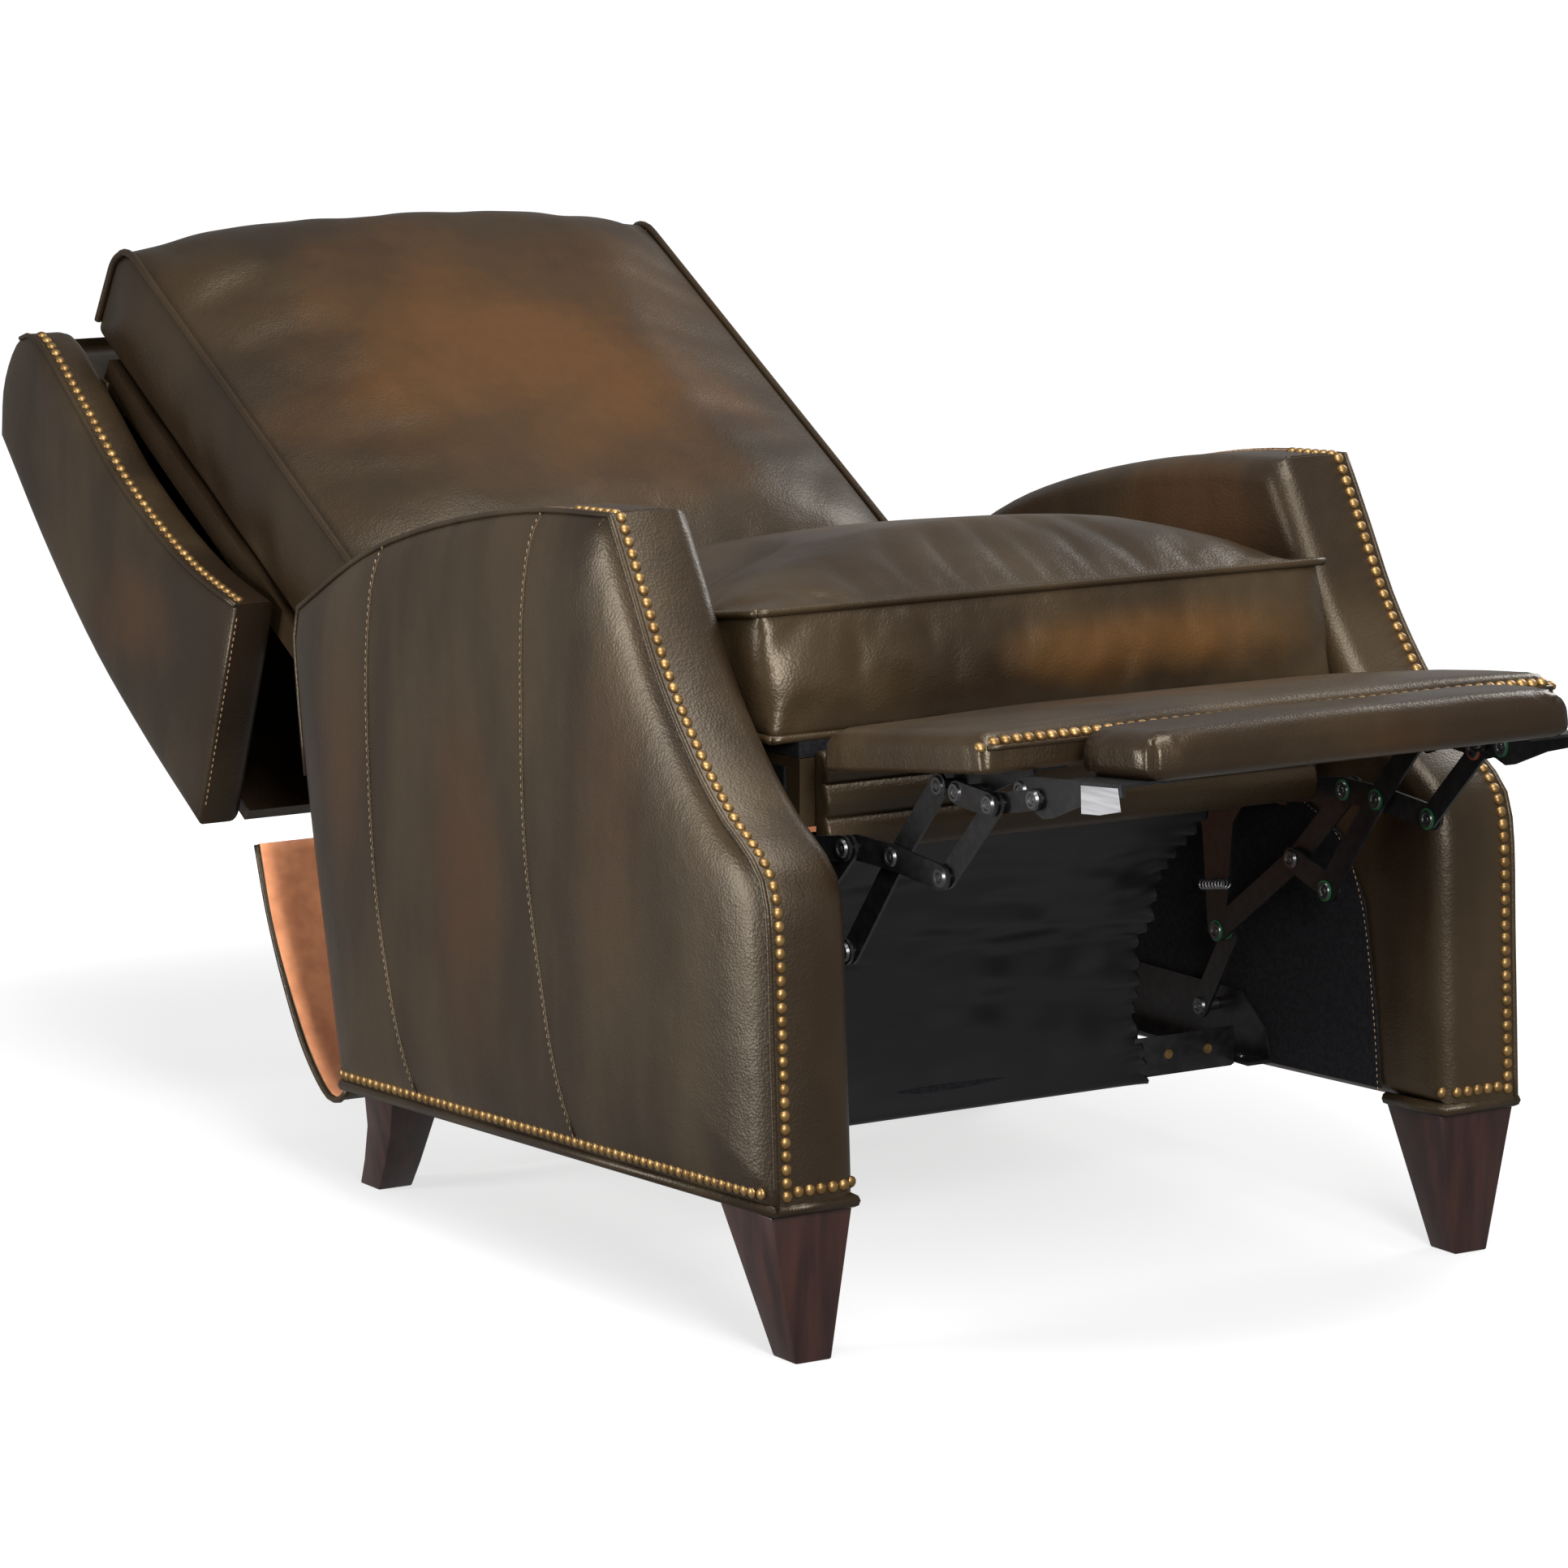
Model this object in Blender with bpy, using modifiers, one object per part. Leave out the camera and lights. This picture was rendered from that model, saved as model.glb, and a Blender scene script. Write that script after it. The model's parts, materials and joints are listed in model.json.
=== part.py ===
"""Leather recliner armchair, modelled piece by piece in metres, +Z up, the sitter facing -Y.

Places are measured from the point on the floor midway between the two front legs: y runs back
from it and z up. The empty "chair_origin" then moves that point forward, so that the frame's own
origin lies on the floor under the middle of the chair.
The chair is modelled leaning back with its footrest out, which is where every joint is at zero.
"""
import math

import bmesh
import bpy
from mathutils import Vector

# ---- driving dimensions -----------------------------------------------------------------------
FRONT_LEG_Y = -0.5540        # the front legs, in the frame whose origin is under the chair's middle
ARM_OUT = 0.380              # half of the width over the arms
ARM_IN = 0.293               # inner face of an arm
COVER_WALL = 0.012           # leather and foam over the arm's wooden frame
FRAME_GAP = 0.0003           # clearance between pieces that touch
BACK_HALF = 0.288            # half width of the back's wooden frame
WING_OUT = 0.338             # outer face of a back wing
STEEL = 0.003                # thickness of the mechanism's plates and links
RIVET_R = 0.004
HOLE_R = 0.0046
LINK_R = 0.0105              # half width of a link

# ---- planes of the riveted stack, as |x| of each plate's inner face -----------------------------
PLANE_FOOT_BRACKET = 0.2205
PLANE_FLAP_PLATE = 0.2265
PLANE_FLAP_LINK = 0.2325
PLANE_LONG_LINK = 0.2385
PLANE_SCISSOR_LINK = 0.2445
PLANE_CONTROL_BAR = 0.2505
PLANE_DRIVE_LEVER = 0.2565
PLANE_BACK_BRACKET = 0.2587
PLANE_SIDE_PLATE = 0.2623
PLANE_SWING_LINK = 0.2683
PLANE_BASE_RAIL = 0.2860

# ---- pivots of the footrest mechanism, as (y, z) ------------------------------------------------
LEVER_PIVOT = (0.170, 0.378)
CONTROL_TOP = (0.055, 0.396)
CONTROL_MID = (0.126, 0.326)
CONTROL_LOW = (0.238, 0.245)
SCISSOR = (0.003, 0.396)
LONG_LOW = (0.070, 0.308)
LONG_TOP = (-0.054, 0.461)
SCISSOR_END = (-0.066, 0.390)
ROCKER_PIVOT = (-0.087, 0.461)
RISER_TOP = (-0.132, 0.458)
FLAP_PIVOT = (-0.150, 0.470)
FLAP_PULL = (-0.175, 0.467)

# ---- pivots that carry the seat and the back ----------------------------------------------------
SWING_REACH = Vector((-0.046, 0.077))
SWING_FRONT = (0.285, 0.168)
SWING_REAR = (0.585, 0.168)
BACK_PIVOT = (0.700, 0.300)

# ---- legs, arms and base ------------------------------------------------------------------------
LEG_FOOT = 0.034
FRONT_LEG_TOP = 0.076
REAR_LEG_TOP = 0.052
ARM_LOW_FRONT = (-0.025, 0.128)
ARM_LOW_REAR = (0.679, 0.100)

# ---- seat -----------------------------------------------------------------------------------------
SEAT_FRONT, SEAT_REAR = 0.114, 0.612
SEAT_LOW, SEAT_TOP = 0.404, 0.460
CUSHION_TOP = 0.592
CUSHION_HALF = 0.287

# ---- back: its cushion lies along a line raised this far above level ----------------------------
BACK_RISE = math.radians(30.5)
BACK_FOOT = (0.775, 0.535)
BACK_LENGTH = 0.528
BACK_THICK = 0.124
BACK_FRAME_THICK = 0.026

# ---- footrest: the line under its board, and the same for the flap -----------------------------
FOOT_REAR, FOOT_FRONT = 0.046, -0.177
FOOT_UNDER = 0.462
FOOT_SLOPE = 0.13
FOOT_THICK = 0.036
FOOT_HALF = 0.283
FLAP_REAR, FLAP_FRONT = -0.192, -0.292
FLAP_UNDER = 0.486
FLAP_THICK = 0.038
FLAP_HALF = 0.205
BOARD = 0.012


# ---- materials ------------------------------------------------------------------------------------
def material(name, colour, roughness, metallic=0.0):
    made = bpy.data.materials.new(name)
    made.use_nodes = True
    shader = made.node_tree.nodes["Principled BSDF"]
    shader.inputs["Base Color"].default_value = (*colour, 1.0)
    shader.inputs["Roughness"].default_value = roughness
    shader.inputs["Metallic"].default_value = metallic
    return made


# ---- collections, empties and placing --------------------------------------------------------------
for old in list(bpy.data.objects):
    bpy.data.objects.remove(old)
chair = bpy.data.collections.new("recliner_armchair")
cutters = bpy.data.collections.new("cutters")
for group in (chair, cutters):
    bpy.context.scene.collection.children.link(group)

LEATHER = material("brown_leather", (0.075, 0.045, 0.025), 0.42)
WOOD = material("espresso_wood", (0.045, 0.018, 0.012), 0.35)
PINE = material("frame_wood", (0.55, 0.40, 0.24), 0.7)
BLACK_STEEL = material("black_steel", (0.02, 0.02, 0.022), 0.4, 0.6)
SPRING_STEEL = material("spring_steel", (0.25, 0.25, 0.26), 0.35, 1.0)
BLACK_CLOTH = material("black_cloth", (0.012, 0.012, 0.013), 0.9)
LINING = material("black_lining", (0.018, 0.018, 0.02), 0.95)

origin = bpy.data.objects.new("chair_origin", None)
origin.location = (0, FRONT_LEG_Y, 0)
chair.objects.link(origin)


def joint_empty(name, pivot, parent):
    """An empty on a joint's axis, which runs along X through pivot."""
    empty = bpy.data.objects.new(name, None)
    chair.objects.link(empty)
    empty.parent = parent[0]
    empty.location = (0, pivot[0] - parent[1][0], pivot[1] - parent[1][1])
    return (empty, pivot)


BASE = (origin, (0.0, 0.0))
FRONT_SWING = joint_empty("front_swing_axis", SWING_FRONT, BASE)
REAR_SWING = joint_empty("rear_swing_axis", SWING_REAR, BASE)
SEAT = joint_empty("seat_glide", (0.0, 0.0), BASE)
BACK = joint_empty("back_axis", BACK_PIVOT, SEAT)
LEVER = joint_empty("drive_lever_axis", LEVER_PIVOT, SEAT)
CONTROL = joint_empty("control_bar_axis", CONTROL_TOP, LEVER)
SCISSOR_LINK = joint_empty("scissor_link_axis", CONTROL_TOP, LEVER)
TIE = joint_empty("tie_link_axis", CONTROL_MID, CONTROL)
LONG = joint_empty("long_link_axis", SCISSOR, SCISSOR_LINK)
RISER = joint_empty("riser_link_axis", SCISSOR_END, SCISSOR_LINK)
FLAP_LINK = joint_empty("flap_link_axis", RISER_TOP, RISER)
FOOTREST = joint_empty("footrest_axis", LONG_TOP, LONG)
ROCKER = joint_empty("rocker_link_axis", ROCKER_PIVOT, FOOTREST)
FLAP = joint_empty("flap_axis", FLAP_PIVOT, FOOTREST)


def finish(obj, body, mat, spot=(0.0, 0.0, 0.0)):
    """Hang obj on its body's empty with its own origin at spot, and give it its material."""
    obj.parent = body[0]
    obj.location = (spot[0], spot[1] - body[1][0], spot[2] - body[1][1])
    obj.data.materials.clear()
    obj.data.materials.append(mat)
    return obj


# ---- shapes -------------------------------------------------------------------------------------------
def as_mesh(obj, name, group=chair):
    """The curve object as a welded mesh object in the same place."""
    depsgraph = bpy.context.evaluated_depsgraph_get()
    mesh = bpy.data.meshes.new_from_object(obj.evaluated_get(depsgraph))
    work = bmesh.new()
    work.from_mesh(mesh)
    bmesh.ops.remove_doubles(work, verts=work.verts, dist=0.00001)
    work.to_mesh(mesh)
    work.free()
    mesh.name = name
    solid = bpy.data.objects.new(name, mesh)
    group.objects.link(solid)
    solid.matrix_world = obj.matrix_world
    bpy.data.objects.remove(obj)
    return solid


def slab(name, outline, x_low, x_high, body=BASE, mat=None, holes=(), pivot=None, group=chair):
    """An outline of (y, z) points, pushed out along X from x_low to x_high."""
    pivot = body[1] if pivot is None else pivot
    curve = bpy.data.curves.new(name + "_curve", "CURVE")
    curve.dimensions = "2D"
    curve.fill_mode = "BOTH"
    curve.extrude = (x_high - x_low) / 2
    rounds = [ring(spot, HOLE_R) for spot in holes]
    for loop in [outline] + rounds:
        spline = curve.splines.new("POLY")
        spline.points.add(len(loop) - 1)
        for point, (y, z) in zip(spline.points, loop):
            point.co = (y - pivot[0], z - pivot[1], 0, 1)
        spline.use_cyclic_u = True
    obj = bpy.data.objects.new(name + "_curve", curve)
    group.objects.link(obj)
    obj.rotation_euler = (math.pi / 2, 0, math.pi / 2)
    bpy.context.view_layer.update()
    solid = as_mesh(obj, name, group)
    if mat:
        return finish(solid, body, mat, ((x_low + x_high) / 2, *pivot))
    return place_cutter(solid, x_low, x_high, pivot)


def place_cutter(obj, x_low, x_high, pivot):
    obj.parent = origin
    obj.location = ((x_low + x_high) / 2, *pivot)
    obj.hide_render = True
    obj.display_type = "WIRE"
    return obj


def ring(spot, radius, sides=12):
    """Points of a circle round spot."""
    turn = 2 * math.pi / sides
    return [(spot[0] + radius * math.cos(i * turn), spot[1] + radius * math.sin(i * turn))
            for i in range(sides)]


def bar(points, radius=LINK_R, arc=5):
    """The outline of a flat bar that bends through points and has round ends."""
    spots = [Vector(p) for p in points]
    runs = [(b - a).normalized() for a, b in zip(spots, spots[1:])]

    def side(sign):
        loop = []
        for i in range(1, len(spots) - 1):
            mean = (runs[i - 1] + runs[i]).normalized()
            normal = Vector((-mean.y, mean.x)) * sign
            loop.append(spots[i] + normal * radius / max(0.5, mean.dot(runs[i])))
        return loop

    def cap(centre, direction):
        start = math.atan2(direction.y, direction.x) + math.pi / 2
        turns = [start - k * math.pi / arc for k in range(arc + 1)]
        return [centre + radius * Vector((math.cos(turn), math.sin(turn))) for turn in turns]

    outline = side(1) + cap(spots[-1], runs[-1]) + side(-1)[::-1] + cap(spots[0], -runs[0])
    return [(p.x, p.y) for p in outline]


def through(points, steps=4):
    """A smooth Catmull-Rom run through (y, z) points, both ends included."""
    spots = [Vector(p) for p in points]
    ends = [2 * spots[0] - spots[1]] + spots + [2 * spots[-1] - spots[-2]]
    run = []
    for a, b, c, d in zip(ends, ends[1:], ends[2:], ends[3:]):
        for k in range(steps):
            t = k / steps
            run.append(0.5 * (2 * b + (c - a) * t + (2 * a - 5 * b + 4 * c - d) * t * t
                              + (3 * b - 3 * c + d - a) * t ** 3))
    run.append(spots[-1])
    return [(p.x, p.y) for p in run]


def pin(name, spot, x_low, x_high, radius=RIVET_R, sides=12):
    """A round pin along X, kept among the cutters: it is joined to a plate or cut from one."""
    mesh = bpy.data.meshes.new(name)
    work = bmesh.new()
    bmesh.ops.create_cone(work, cap_ends=True, segments=sides, radius1=radius, radius2=radius,
                          depth=x_high - x_low)
    work.to_mesh(mesh)
    work.free()
    obj = bpy.data.objects.new(name, mesh)
    cutters.objects.link(obj)
    obj.rotation_euler = (0, math.pi / 2, 0)
    return place_cutter(obj, x_low, x_high, spot)


def combine(obj, other, operation):
    change = obj.modifiers.new(operation.lower(), "BOOLEAN")
    change.operation = operation
    change.object = other
    return obj


def box(name, low, high, body, mat, bevel=0.0, segments=2):
    """A rectangular block between two corners, with its edges rounded by bevel."""
    mesh = bpy.data.meshes.new(name)
    work = bmesh.new()
    bmesh.ops.create_cube(work, size=1.0)
    size = [b - a for a, b in zip(low, high)]
    bmesh.ops.scale(work, verts=work.verts, vec=size)
    work.to_mesh(mesh)
    work.free()
    obj = bpy.data.objects.new(name, mesh)
    chair.objects.link(obj)
    if bevel:
        edge = obj.modifiers.new("rounded", "BEVEL")
        edge.width = bevel
        edge.segments = segments
    return finish(obj, body, mat, [(a + b) / 2 for a, b in zip(low, high)])


def mirrored(side, low, high):
    """An |x| range as an x range on the left (-1) or right (+1) side."""
    return (low, high) if side > 0 else (-high, -low)


SIDES = (("left", -1), ("right", 1))


def steel_link(name, plane, points, body, holes=(), studs=(), radius=LINK_R):
    """A flat link on each side of the chair, with rivets swaged into it that stand out of it."""
    for word, side in SIDES:
        low, high = mirrored(side, plane, plane + STEEL)
        link = slab(f"{name}_{word}", bar(points, radius), low, high, body, BLACK_STEEL, holes)
        for count, (spot, reach_in, reach_out) in enumerate(studs, 1):
            stud_low, stud_high = mirrored(side, reach_in, reach_out)
            combine(link, pin(f"{name}_{word}_rivet_{count}", spot, stud_low, stud_high), "UNION")


# ---- legs ------------------------------------------------------------------------------------------
def leg(name, stations):
    """A square wooden leg: (x, y, z, side) stations from the floor up, joined face to face."""
    mesh = bpy.data.meshes.new(name)
    work = bmesh.new()
    base_x, base_y, base_z, base_side = stations[0]
    bmesh.ops.create_cube(work, size=base_side)
    upper = [v for v in work.verts if v.co.z > 0]
    for count, (x, y, z, side) in enumerate(stations[1:]):
        if count:
            top_face = max(work.faces, key=lambda f: f.calc_center_median().z)
            made = bmesh.ops.extrude_discrete_faces(work, faces=[top_face])
            upper = list(made["faces"][0].verts)
        centre = sum((v.co for v in upper), Vector()) / 4
        grow = side / (max(v.co.x for v in upper) - min(v.co.x for v in upper))
        for v in upper:
            offset = v.co - centre
            v.co = (x - base_x + offset.x * grow, y - base_y + offset.y * grow, z - base_z)
    for v in work.verts:
        v.co.z = max(v.co.z, 0.0)
    bmesh.ops.recalc_face_normals(work, faces=work.faces)
    work.to_mesh(mesh)
    work.free()
    obj = bpy.data.objects.new(name, mesh)
    chair.objects.link(obj)
    return finish(obj, BASE, WOOD, (base_x, base_y, base_z))


def arm_underside(y):
    """Height of the arm's lower edge, which falls towards the back."""
    share = (y - ARM_LOW_FRONT[0]) / (ARM_LOW_REAR[0] - ARM_LOW_FRONT[0])
    return ARM_LOW_FRONT[1] + share * (ARM_LOW_REAR[1] - ARM_LOW_FRONT[1])


for word, side in SIDES:
    top_y = 0.020
    top = arm_underside(top_y - FRONT_LEG_TOP / 2) - 0.004
    leg(f"front_leg_{word}", [(side * 0.333, 0.0, 0.0, LEG_FOOT),
                              (side * 0.336, top_y, top, FRONT_LEG_TOP)])
    rear_top = arm_underside(0.640) - 0.004
    leg(f"rear_leg_{word}", [(side * 0.317, 0.701, 0.0, LEG_FOOT),
                             (side * 0.322, 0.672, 0.045, 0.040),
                             (side * 0.330, 0.645, rear_top, REAR_LEG_TOP)])

# ---- arms: a padded leather cover over a wooden frame, and a cloth lining inside the front ------
ARM_FRONT = through([ARM_LOW_FRONT, (-0.018, 0.260), (-0.011, 0.368), (0.010, 0.404), (0.056, 0.434),
                     (0.104, 0.478), (0.152, 0.536), (0.190, 0.600), (0.223, 0.654)], 2)
ARM_TOP = through([(0.230, 0.657), (0.328, 0.648), (0.430, 0.632), (0.541, 0.606), (0.640, 0.572),
                   (0.748, 0.516)], 2)
ARM_REAR = [(0.753, 0.486), (0.732, 0.337), ARM_LOW_REAR]
ARM_OUTLINE = ARM_FRONT + ARM_TOP + ARM_REAR
ARM_WINDOW = [(0.045, 0.175), (0.052, 0.350), (0.120, 0.415), (0.190, 0.500), (0.250, 0.590), (0.400, 0.575),
              (0.620, 0.515), (0.680, 0.470), (0.660, 0.330), (0.625, 0.165)]


def inset(outline, depth):
    """The outline moved inwards by depth; it runs clockwise as seen from +X."""
    spots = [Vector(p) for p in outline]
    count = len(spots)
    moved = []
    for i, spot in enumerate(spots):
        before = (spot - spots[i - 1]).normalized()
        after = (spots[(i + 1) % count] - spot).normalized()
        mean = (before + after).normalized()
        inward = Vector((mean.y, -mean.x))
        moved.append(spot + inward * depth / max(0.6, mean.dot(before)))
    return [(p.x, p.y) for p in moved]


for word, side in SIDES:
    low, high = mirrored(side, ARM_IN, ARM_OUT)
    cover = slab(f"arm_cover_{word}", ARM_OUTLINE, low, high, BASE, LEATHER)
    hollow = inset(ARM_OUTLINE, COVER_WALL)
    hollow = [(hollow[0][0], 0.05)] + hollow + [(hollow[-1][0], 0.05)]
    room = slab(f"arm_room_{word}", hollow, low + COVER_WALL, high - COVER_WALL, group=cutters)
    combine(cover, room, "DIFFERENCE")
    frame_low, frame_high = low + COVER_WALL + FRAME_GAP, high - COVER_WALL - FRAME_GAP
    frame_line = inset(ARM_OUTLINE, COVER_WALL + 0.001)
    frame = slab(f"arm_frame_{word}", frame_line, frame_low, frame_high, BASE, PINE)
    window = slab(f"arm_window_{word}", ARM_WINDOW, low, high, group=cutters)
    combine(frame, window, "DIFFERENCE")
    lining_low, lining_high = mirrored(side, ARM_IN - 0.0030, ARM_IN - 0.0008)
    lining_line = [(0.056, 0.134), (0.064, 0.200), (0.082, 0.290), (0.117, 0.344), (0.180, 0.372),
                   (0.560, 0.372), (0.560, 0.115)]
    slab(f"arm_lining_{word}", lining_line, lining_low, lining_high, BASE, LINING)

# ---- base: cross rails, steel base rails, rear skirt and front dust cloth ----------------------
RAIL_HALF = 0.2885
FRONT_RAIL_HALF = PLANE_SIDE_PLATE - 0.0005      # its ends stay just clear of the steel rails' soles
box("base_front_rail", (-FRONT_RAIL_HALF, 0.226, 0.126), (FRONT_RAIL_HALF, 0.250, 0.146), BASE, PINE, 0.002)
box("base_rear_rail", (-RAIL_HALF, 0.640, 0.104), (RAIL_HALF, 0.664, 0.190), BASE, PINE, 0.002)
SWING_BACK_REACH = (PLANE_SWING_LINK - 0.0006, PLANE_BASE_RAIL + 0.001)
for word, side in SIDES:
    web = [(0.206, 0.1300), (0.622, 0.1300), (0.622, 0.186), (0.250, 0.186), (0.215, 0.160)]
    low, high = mirrored(side, PLANE_BASE_RAIL, PLANE_BASE_RAIL + 0.0025)
    rail = slab(f"base_rail_{word}", web, low, high, BASE, BLACK_STEEL)
    sole = [(0.206, 0.1290), (0.622, 0.1290), (0.622, 0.1320), (0.206, 0.1320)]
    low, high = mirrored(side, PLANE_SIDE_PLATE, PLANE_BASE_RAIL + 0.0024)
    combine(rail, slab(f"base_rail_sole_{word}", sole, low, high, group=cutters), "UNION")
    for spot_name, spot in (("front", SWING_FRONT), ("rear", SWING_REAR)):
        low, high = mirrored(side, *SWING_BACK_REACH)
        combine(rail, pin(f"base_rail_{spot_name}_stud_{word}", spot, low, high), "UNION")

SKIRT_LINE = through([(0.684, 0.0935), (0.704, 0.079), (0.730, 0.084), (0.768, 0.118), (0.802, 0.170),
                      (0.831, 0.228), (0.852, 0.290)], 3)
skirt_outer = [(y, z) for y, z in SKIRT_LINE]
skirt_inner = [(y, z) for y, z in inset(SKIRT_LINE + [(0.684, 0.290)], -0.0032)[:len(SKIRT_LINE)]]
slab("rear_skirt", skirt_outer + skirt_inner[::-1], -0.362, 0.362, BASE, LEATHER)

CLOTH_LINE = through([(0.130, 0.374), (0.168, 0.318), (0.200, 0.250), (0.218, 0.185), (0.2225, 0.120)], 2)
cloth_back = [(y + 0.003, z - 0.002) for y, z in CLOTH_LINE]
slab("dust_cloth", CLOTH_LINE + cloth_back[::-1], -0.205, 0.205, BASE, BLACK_CLOTH)

# ---- swing links that carry the seat ------------------------------------------------------------
for name, foot, body in (("front_swing_link", SWING_FRONT, FRONT_SWING),
                         ("rear_swing_link", SWING_REAR, REAR_SWING)):
    head = (foot[0] + SWING_REACH.x, foot[1] + SWING_REACH.y)
    steel_link(name, PLANE_SWING_LINK, [foot, head], body, holes=(foot,))

# ---- seat: wooden frame, sinuous springs, deck, cushion, leather front rail, steel side plates --
seat_line = [(-0.2615, SEAT_FRONT), (0.2615, SEAT_FRONT), (0.2615, SEAT_REAR), (-0.2615, SEAT_REAR)]
seat_frame = box("seat_frame", (-0.2615, SEAT_FRONT, SEAT_LOW), (0.2615, SEAT_REAR, SEAT_TOP), SEAT, PINE)
seat_room = [(SEAT_FRONT + 0.026, 0.30), (SEAT_REAR - 0.026, 0.30), (SEAT_REAR - 0.026, 0.50),
             (SEAT_FRONT + 0.026, 0.50)]
combine(seat_frame, slab("seat_room", seat_room, -0.2355, 0.2355, group=cutters), "DIFFERENCE")


def sinuous_spring(name, x_middle):
    """A zigzag spring wire from the front rail to the rear rail, bowed up in the middle."""
    front, rear, half, bends = SEAT_FRONT + 0.031, SEAT_REAR - 0.031, 0.018, 16
    curve = bpy.data.curves.new(name + "_curve", "CURVE")
    curve.dimensions = "3D"
    curve.bevel_depth = 0.0018
    curve.bevel_resolution = 1
    curve.use_fill_caps = True
    spline = curve.splines.new("POLY")
    count = bends * 2 + 1
    spline.points.add(count - 1)
    for i, point in enumerate(spline.points):
        share = i / (count - 1)
        swing = half * (0 if i in (0, count - 1) else (1 if i % 4 in (1, 2) else -1))
        rise = 0.008 * math.sin(share * math.pi)
        point.co = (x_middle + swing, front + share * (rear - front), 0.446 + rise, 1)
    obj = bpy.data.objects.new(name + "_curve", curve)
    chair.objects.link(obj)
    bpy.context.view_layer.update()
    return as_mesh(obj, name)


spring_unit = sinuous_spring("seat_springs", -0.165)
finish(spring_unit, SEAT, SPRING_STEEL)
for count, x in enumerate((-0.055, 0.055, 0.165), 2):
    extra = sinuous_spring(f"spring_{count}", x)
    cutters.objects.link(extra)
    chair.objects.unlink(extra)
    extra.parent = origin
    extra.hide_render = True
    extra.display_type = "WIRE"
    combine(spring_unit, extra, "UNION")
for count, y in enumerate((0.270, 0.460), 1):
    tie = pin(f"spring_tie_{count}", (y, 0.4495), -0.195, 0.195, 0.0016, 8)
    combine(spring_unit, tie, "UNION")

box("seat_deck", (-0.2610, SEAT_FRONT + 0.002, SEAT_TOP + 0.0006), (0.2610, SEAT_REAR - 0.004, 0.4740),
    SEAT, BLACK_CLOTH)
box("seat_cushion", (-CUSHION_HALF, 0.128, 0.4760), (CUSHION_HALF, 0.600, CUSHION_TOP), SEAT, LEATHER, 0.014)
COVER_LINE = through([(0.110, 0.380), (0.099, 0.384), (0.093, 0.396), (0.096, 0.412), (0.093, 0.428),
                      (0.097, 0.444), (0.097, 0.458), (0.110, 0.4655)], 2)
cover_outline = [(0.1135, 0.380)] + COVER_LINE + [(0.1135, 0.4655)]
slab("seat_front_cover", cover_outline, -0.2490, 0.2490, SEAT, LEATHER)

PLATE_OUTLINE = [(0.132, 0.452), (0.132, 0.392), (0.158, 0.366), (0.182, 0.366), (0.200, 0.380),
                 (0.232, 0.340), (0.242, 0.238), (0.254, 0.232), (0.266, 0.238), (0.276, 0.330),
                 (0.310, 0.385), (0.490, 0.385), (0.530, 0.320), (0.532, 0.238), (0.544, 0.232),
                 (0.556, 0.238), (0.572, 0.300), (0.688, 0.286), (0.712, 0.286), (0.717, 0.300),
                 (0.706, 0.314), (0.640, 0.370), (0.606, 0.452)]
for word, side in SIDES:
    low, high = mirrored(side, PLANE_SIDE_PLATE, PLANE_SIDE_PLATE + STEEL)
    plate = slab(f"seat_side_plate_{word}", PLATE_OUTLINE, low, high, SEAT, BLACK_STEEL, holes=(LEVER_PIVOT,))
    low, high = mirrored(side, PLANE_BACK_BRACKET - 0.0008, PLANE_SIDE_PLATE + STEEL)
    combine(plate, pin(f"back_pivot_stud_{word}", BACK_PIVOT, low, high, 0.006, 16), "UNION")

# ---- back: hinge brackets, wooden frame, cushion, wings and outer panel ------------------------
ALONG = Vector((math.cos(BACK_RISE), math.sin(BACK_RISE)))
REARWARD = Vector((math.sin(BACK_RISE), -math.cos(BACK_RISE)))


def on_back(along, depth):
    """The (y, z) of a point measured up the back's face and backwards from it."""
    spot = Vector(BACK_FOOT) + ALONG * along + REARWARD * depth
    return (spot.x, spot.y)


def back_slab(name, along_low, along_high, depth_low, depth_high, x_half, mat, bevel=0.0):
    outline = [on_back(along_low, depth_low), on_back(along_high, depth_low),
               on_back(along_high, depth_high), on_back(along_low, depth_high)]
    obj = slab(name, outline[::-1], -x_half, x_half, BACK, mat)
    if bevel:
        edge = obj.modifiers.new("rounded", "BEVEL")
        edge.width = bevel
        edge.segments = 2
    return obj


back_slab("back_cushion", 0.0, BACK_LENGTH, 0.0, BACK_THICK, 0.286, LEATHER, 0.016)
FRAME_DEPTH = BACK_THICK + 0.001
FRAME_BEHIND = FRAME_DEPTH + BACK_FRAME_THICK
back_frame = back_slab("back_frame", 0.065, 0.500, FRAME_DEPTH, FRAME_BEHIND, BACK_HALF, PINE)
opening = [on_back(0.105, 0.05), on_back(0.460, 0.05), on_back(0.460, 0.30), on_back(0.105, 0.30)]
combine(back_frame, slab("back_room", opening, -0.250, 0.250, group=cutters), "DIFFERENCE")
BRACKET_TOP = on_back(0.175, FRAME_BEHIND + 0.016)
BRACKET_BEND = on_back(0.075, FRAME_BEHIND + 0.016)
for word, side in SIDES:
    low, high = mirrored(side, PLANE_BACK_BRACKET, PLANE_BACK_BRACKET + STEEL)
    line = bar([BACK_PIVOT, BRACKET_BEND, BRACKET_TOP], 0.0155)
    bracket = slab(f"back_bracket_{word}", line, low, high, BACK, BLACK_STEEL)
    low, high = mirrored(side, 0.24, 0.28)
    combine(bracket, pin(f"back_pivot_hole_{word}", BACK_PIVOT, low, high, 0.0068, 16), "DIFFERENCE")

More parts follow.
